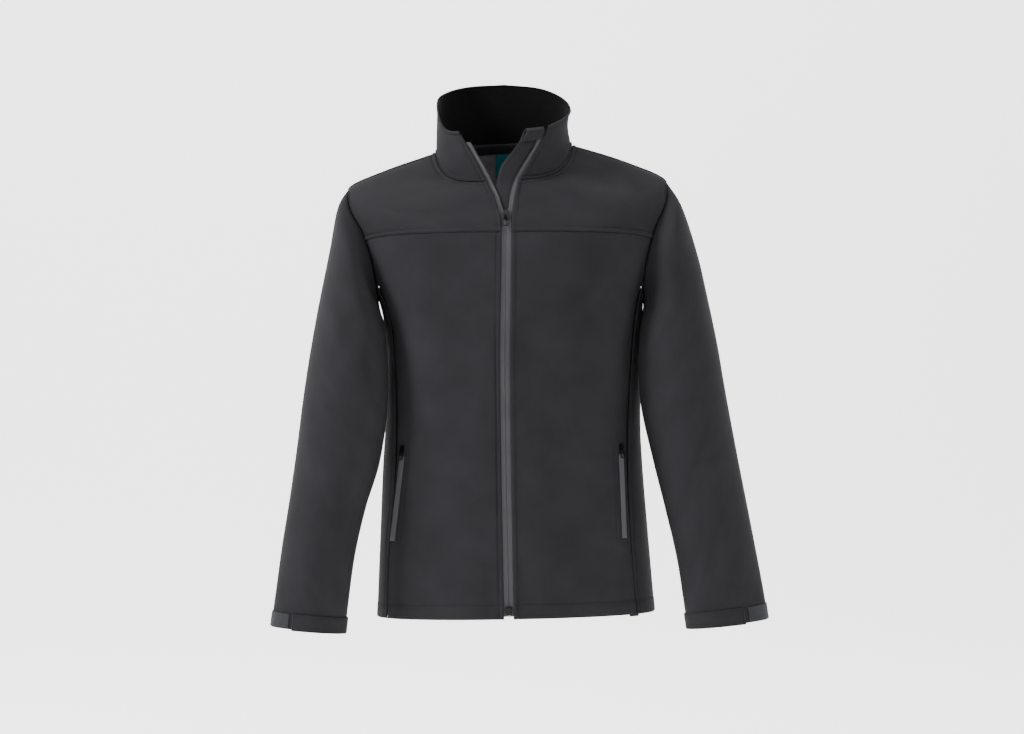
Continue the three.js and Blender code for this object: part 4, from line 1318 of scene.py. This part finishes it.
@dataclass
class Finishes:
    """The jacket's materials, one for each real one."""

    # Bonded stretch cloth: matte charcoal with a fine woven grain and soft light at its folds
    softshell: ClothFinish = ClothFinish("bonded_softshell", "1b1a1c", "272629", 0.55, 0.5, 0.82,
                                         0.02)
    # Fleece inner face: nearly black, soft, with no gleam
    facing: ClothFinish = ClothFinish("fleece_facing", "050506", "0b0b0c", 0.9, 0.8, 1.0, 0.03)
    # Knitted lining: grey, lighter and smoother than the shell; the grey is partly its own and
    # partly painted light, raised to lift the shade inside the neck
    lining: ClothFinish = ClothFinish("knitted_lining", "5b5b5e", "7a7a7e", 0.6, 0.4, 0.8, 0.1)
    # Woven satin label: deep teal with fine even threads; the teal is partly its own and partly
    # painted light, raised to lift the shade inside the neck
    label: ClothFinish = ClothFinish("satin_label", "115c61", "197379", 0.3, 0.3, 0.5, 0.05)
    # Coated zip tape: grey, with a closer weave and a slight gleam
    tape: ClothFinish = ClothFinish("coated_zip_tape", "3a3a3c", "4c4c4f", 0.45, 0.4, 0.6, 0.0)
    # Looped pile of the fastening patch: dark and rough
    pile: ClothFinish = ClothFinish("loop_pile", "222225", "36363a", 1.2, 1.0, 1.0, 0.1)
    # Sewing thread: charcoal, a little glossier than the cloth
    thread: ClothFinish = ClothFinish("sewing_thread", "0d0d0e", "1a1a1c", 0.2, 0.3, 0.6, 0.02,
                                      on_surface=False)
    # Moulded acetal: black and glossy, so that the slider catches small lights
    trim: MouldedFinish = MouldedFinish("moulded_acetal", "040405", "0c0c0d", 0.32)

    def build(self) -> dict[str, bpy.types.Material]:
        """Makes every material, by its field's name."""
        return {name: finish.build() for name, finish in vars(self).items()}


@dataclass
class Trim:
    """The solid sliders, pulls and end box, which keep their shape and get a bevel."""

    names: tuple[str, ...] = ("main_slider", "main_pull", "zip_end_box", "pocket_left_slider",
                              "pocket_left_pull", "pocket_right_slider", "pocket_right_pull")
    bevel: float = 0.15

    def dress(self, material: bpy.types.Material) -> None:
        """Rounds the edges and gives the gloss."""
        for name in self.names:
            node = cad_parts[name]
            for slot in node.material_slots:
                slot.material = material
            bevel = node.modifiers.new("edges", "BEVEL")
            bevel.width = self.bevel * MM
            bevel.segments = 2
            bevel.limit_method = "ANGLE"
            bevel.harden_normals = False


@dataclass
class Jacket:
    """The whole garment, with the stitching that joins its panels."""

    materials: dict[str, bpy.types.Material]
    bodice: Bodice = field(default_factory=Bodice)
    front_zip: FrontZip = field(default_factory=FrontZip)
    neck: Neck = field(default_factory=Neck)

    def dress(self) -> None:
        """Builds every piece."""
        for side in Side:
            self.dress_front(side)
            self.dress_sleeve(side)
            self.dress_zip(side)
            self.dress_pocket(side)
        self.dress_back_and_neck()
        self.bind_seams()
        Trim().dress(self.materials["trim"])

    def sew(self, name: str, slot: str, *lines: np.ndarray) -> None:
        """Adds lines of stitches as one piece that rides on the body."""
        obj = Stitching(name, lines).build(self.materials["thread"])
        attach(obj, "root")
        log.info("%s: %d faces", name, len(obj.data.polygons))

    def dress_front(self, side: Side) -> None:
        """Builds a front, its yoke and its side panel, with their stitching."""
        at_zip = side is Side.LEFT
        front, yoke = self.bodice.front(side), self.bodice.yoke(side)
        panel = self.bodice.side_panel(side)
        cloth = self.materials["softshell"]
        for piece, node in ((front, f"front_{side.label}"), (yoke, f"yoke_{side.label}"),
                            (panel, f"side_panel_{side.label}")):
            finish_cloth(piece, cloth, [node])
        d = STITCH_DISTANCE
        self.sew(f"stitches_front_{side.label}", "softshell", front.column_at(d, at_zip),
                 front.row_at(HEM_STITCH), panel.row_at(HEM_STITCH),
                 panel.column_at(d), panel.column_at(d, True))
        self.sew(f"stitches_yoke_{side.label}", "softshell", yoke.row_at(d), yoke.row_at(d, True),
                 yoke.column_at(d), yoke.column_at(d, True))

    def dress_sleeve(self, side: Side) -> None:
        """Builds a sleeve with its cuff strap and loop patch."""
        sleeve = Sleeve(side)
        tube = sleeve.tube()
        lengths = [f"sleeve_{length}_{side.label}"
                   for length in ("head", "upper", "elbow", "forearm")]
        finish_cloth(tube, self.materials["softshell"], lengths)
        finish_cloth(sleeve.armhole_binding(), self.materials["facing"], [], [tube.name])
        strap = sleeve.band(f"cloth_cuff_strap_{side.label}", sleeve.strap, STRAP, True)
        patch = sleeve.band(f"cloth_cuff_patch_{side.label}", sleeve.patch, TAPE, False)
        finish_cloth(strap, self.materials["softshell"], [f"cuff_strap_{side.label}"],
                     [tube.name])
        finish_cloth(patch, self.materials["pile"], [f"cuff_patch_{side.label}"],
                     [tube.name])
        d = BAND_LINES[-1]
        self.sew(f"stitches_sleeve_{side.label}", "softshell", tube.row_at(HEM_STITCH, True),
                 strap.row_at(d), strap.row_at(d, True), strap.column_at(d),
                 strap.column_at(d, True))

    def dress_zip(self, side: Side) -> None:
        """Builds one tape of the front zip with the teeth of its open part."""
        tape = self.front_zip.tape(side)
        finish_cloth(tape, self.materials["tape"], [f"zip_tape_{side.label}"],
                     [f"cloth_front_{side.label}"])
        teeth = Teeth(f"zip_teeth_{side.label}", self.front_zip.tooth,
                      self.front_zip.teeth(side, tape))
        obj = teeth.build(self.materials["trim"])
        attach(obj, "root")
        log.info("%s: %d teeth", teeth.name, len(teeth.places))

    def dress_pocket(self, side: Side) -> None:
        """Builds a pocket's tape and the two lines of stitches round it."""
        pocket = PocketZip(side)
        finish_cloth(pocket.tape(), self.materials["tape"], [f"pocket_tape_{side.label}"],
                     [f"cloth_front_{side.label}"])
        self.sew(f"stitches_pocket_{side.label}", "softshell",
                 *(pocket.around(away) for away in pocket.stitch_distances))

    def bind_seams(self) -> None:
        """Builds the tapes inside the four side seams, from one front round to the other."""
        make = self.bodice
        around = [make.front(Side.RIGHT), make.side_panel(Side.RIGHT), make.back(),
                  make.side_panel(Side.LEFT), make.front(Side.LEFT)]
        for first, second in zip(around, around[1:]):
            finish_cloth(make.seam_binding(first, second), self.materials["facing"], [],
                         [first.name])

    def dress_back_and_neck(self) -> None:
        """Builds the back, both layers of the collar, lining, label and zip guard."""
        back = self.bodice.back()
        shell = self.materials["softshell"]
        finish_cloth(back, shell, ["back"])
        collar = self.neck.stand("cloth_collar", stitched=EVERY_EDGE)
        finish_cloth(collar, shell, ["collar"])
        facing = self.neck.stand("cloth_collar_facing", COLLAR_FACING_INSET,
                                 self.neck.facing_top, FACING, -CLOTH - LAYER_GAP)
        finish_cloth(facing, self.materials["facing"], ["collar_facing"], [collar.name])
        lining = self.neck.lining()
        finish_cloth(lining, self.materials["lining"], ["neck_lining"], [back.name])
        finish_cloth(self.neck.label(), self.materials["label"], ["neck_label"],
                     [lining.name])
        finish_cloth(self.neck.binding(), shell, [], [facing.name])
        finish_cloth(self.front_zip.guard(), shell, ["zip_guard"],
                     ["cloth_front_left", "cloth_front_right"])
        d = STITCH_DISTANCE
        self.sew("stitches_back", "softshell", back.row_at(HEM_STITCH), back.row_at(d, True))
        self.sew("stitches_collar", "softshell", collar.row_at(d), collar.row_at(d, True),
                 collar.column_at(d), collar.column_at(d, True))


@dataclass
class Studio:
    """Camera at the photograph's view, a pale sweep and soft lights."""

    camera_place: tuple[float, float, float] = (0.006, -4.5, -0.318)
    lens: float = 105.5
    floor: float = -0.95
    flat_until: float = 2.0
    bend_radius: float = 1.5
    world_light: float = 0.16
    aim: tuple[float, float, float] = (0.0, 0.0, -0.3)

    def build(self) -> None:
        """Sets the camera, the sweep and the lights."""
        data = bpy.data.cameras.new("camera")
        data.lens = self.lens
        camera = bpy.data.objects.new("camera", data)
        camera.location = self.camera_place
        camera.rotation_euler = (math.radians(90), 0, 0)
        bpy.context.scene.collection.objects.link(camera)
        bpy.context.scene.camera = camera
        self.build_sweep()
        self.add_light("key", (-3.3, -0.9, 2.1), 1.0, 330)
        self.add_light("fill", (3.4, -1.3, 1.2), 1.2, 95)
        self.add_light("front", (0.0, -5.2, 0.5), 1.6, 24)
        self.add_light("top", (0.0, -0.4, 2.6), 2.2, 45)
        self.add_light("backdrop", (0.0, 0.6, 3.2), 5.0, 200)
        world = bpy.data.worlds.new("studio")
        world.use_nodes = True
        air = world.node_tree.nodes["Background"]
        air.inputs["Color"].default_value = (1, 1, 1, 1)
        air.inputs["Strength"].default_value = self.world_light
        bpy.context.scene.world = world

    def build_sweep(self) -> None:
        """Makes a floor that curves up into a backdrop."""
        width, length, nearest = 16, 12, -4
        bm = bmesh.new()
        bmesh.ops.create_grid(bm, x_segments=1, y_segments=60, size=0.5)
        for vert in bm.verts:
            run = (vert.co.y + 0.5) * length + nearest
            bend = min(max(run - self.flat_until, 0) / self.bend_radius, math.pi / 2)
            climb = max(run - self.flat_until - self.bend_radius * math.pi / 2, 0)
            vert.co = (vert.co.x * width,
                       min(run, self.flat_until) + self.bend_radius * math.sin(bend),
                       self.floor + self.bend_radius * (1 - math.cos(bend)) + climb)
        paper = bpy.data.materials.new("pale_paper")
        paper.use_nodes = True
        shader = paper.node_tree.nodes["Principled BSDF"]
        shader.inputs["Base Color"].default_value = to_linear("f7f7f7")
        shader.inputs["Roughness"].default_value = 0.9
        shader.inputs["Emission Color"].default_value = (1, 1, 1, 1)
        shader.inputs["Emission Strength"].default_value = 1.0
        object_from(bm, "sweep", paper)

    def add_light(self, name: str, place: tuple[float, float, float], size: float,
                  power: float) -> None:
        """Adds a soft square light that faces the jacket's middle.

        Args:
            name: The light's name.
            place: Where it stands, in metres.
            size: Its side in metres.
            power: Its power in watts.
        """
        data = bpy.data.lights.new(name, "AREA")
        data.size = size
        data.energy = power
        lamp = bpy.data.objects.new(name, data)
        lamp.location = place
        towards = Vector(self.aim) - Vector(place)
        lamp.rotation_euler = towards.to_track_quat("-Z", "Y").to_euler()
        bpy.context.scene.collection.objects.link(lamp)


def main() -> None:
    """Dresses the jacket and lights it."""
    logging.basicConfig(level=logging.INFO, format="%(name)s: %(message)s")
    Jacket(Finishes().build()).dress()
    Studio().build()


if __name__ == "__main__":
    main()
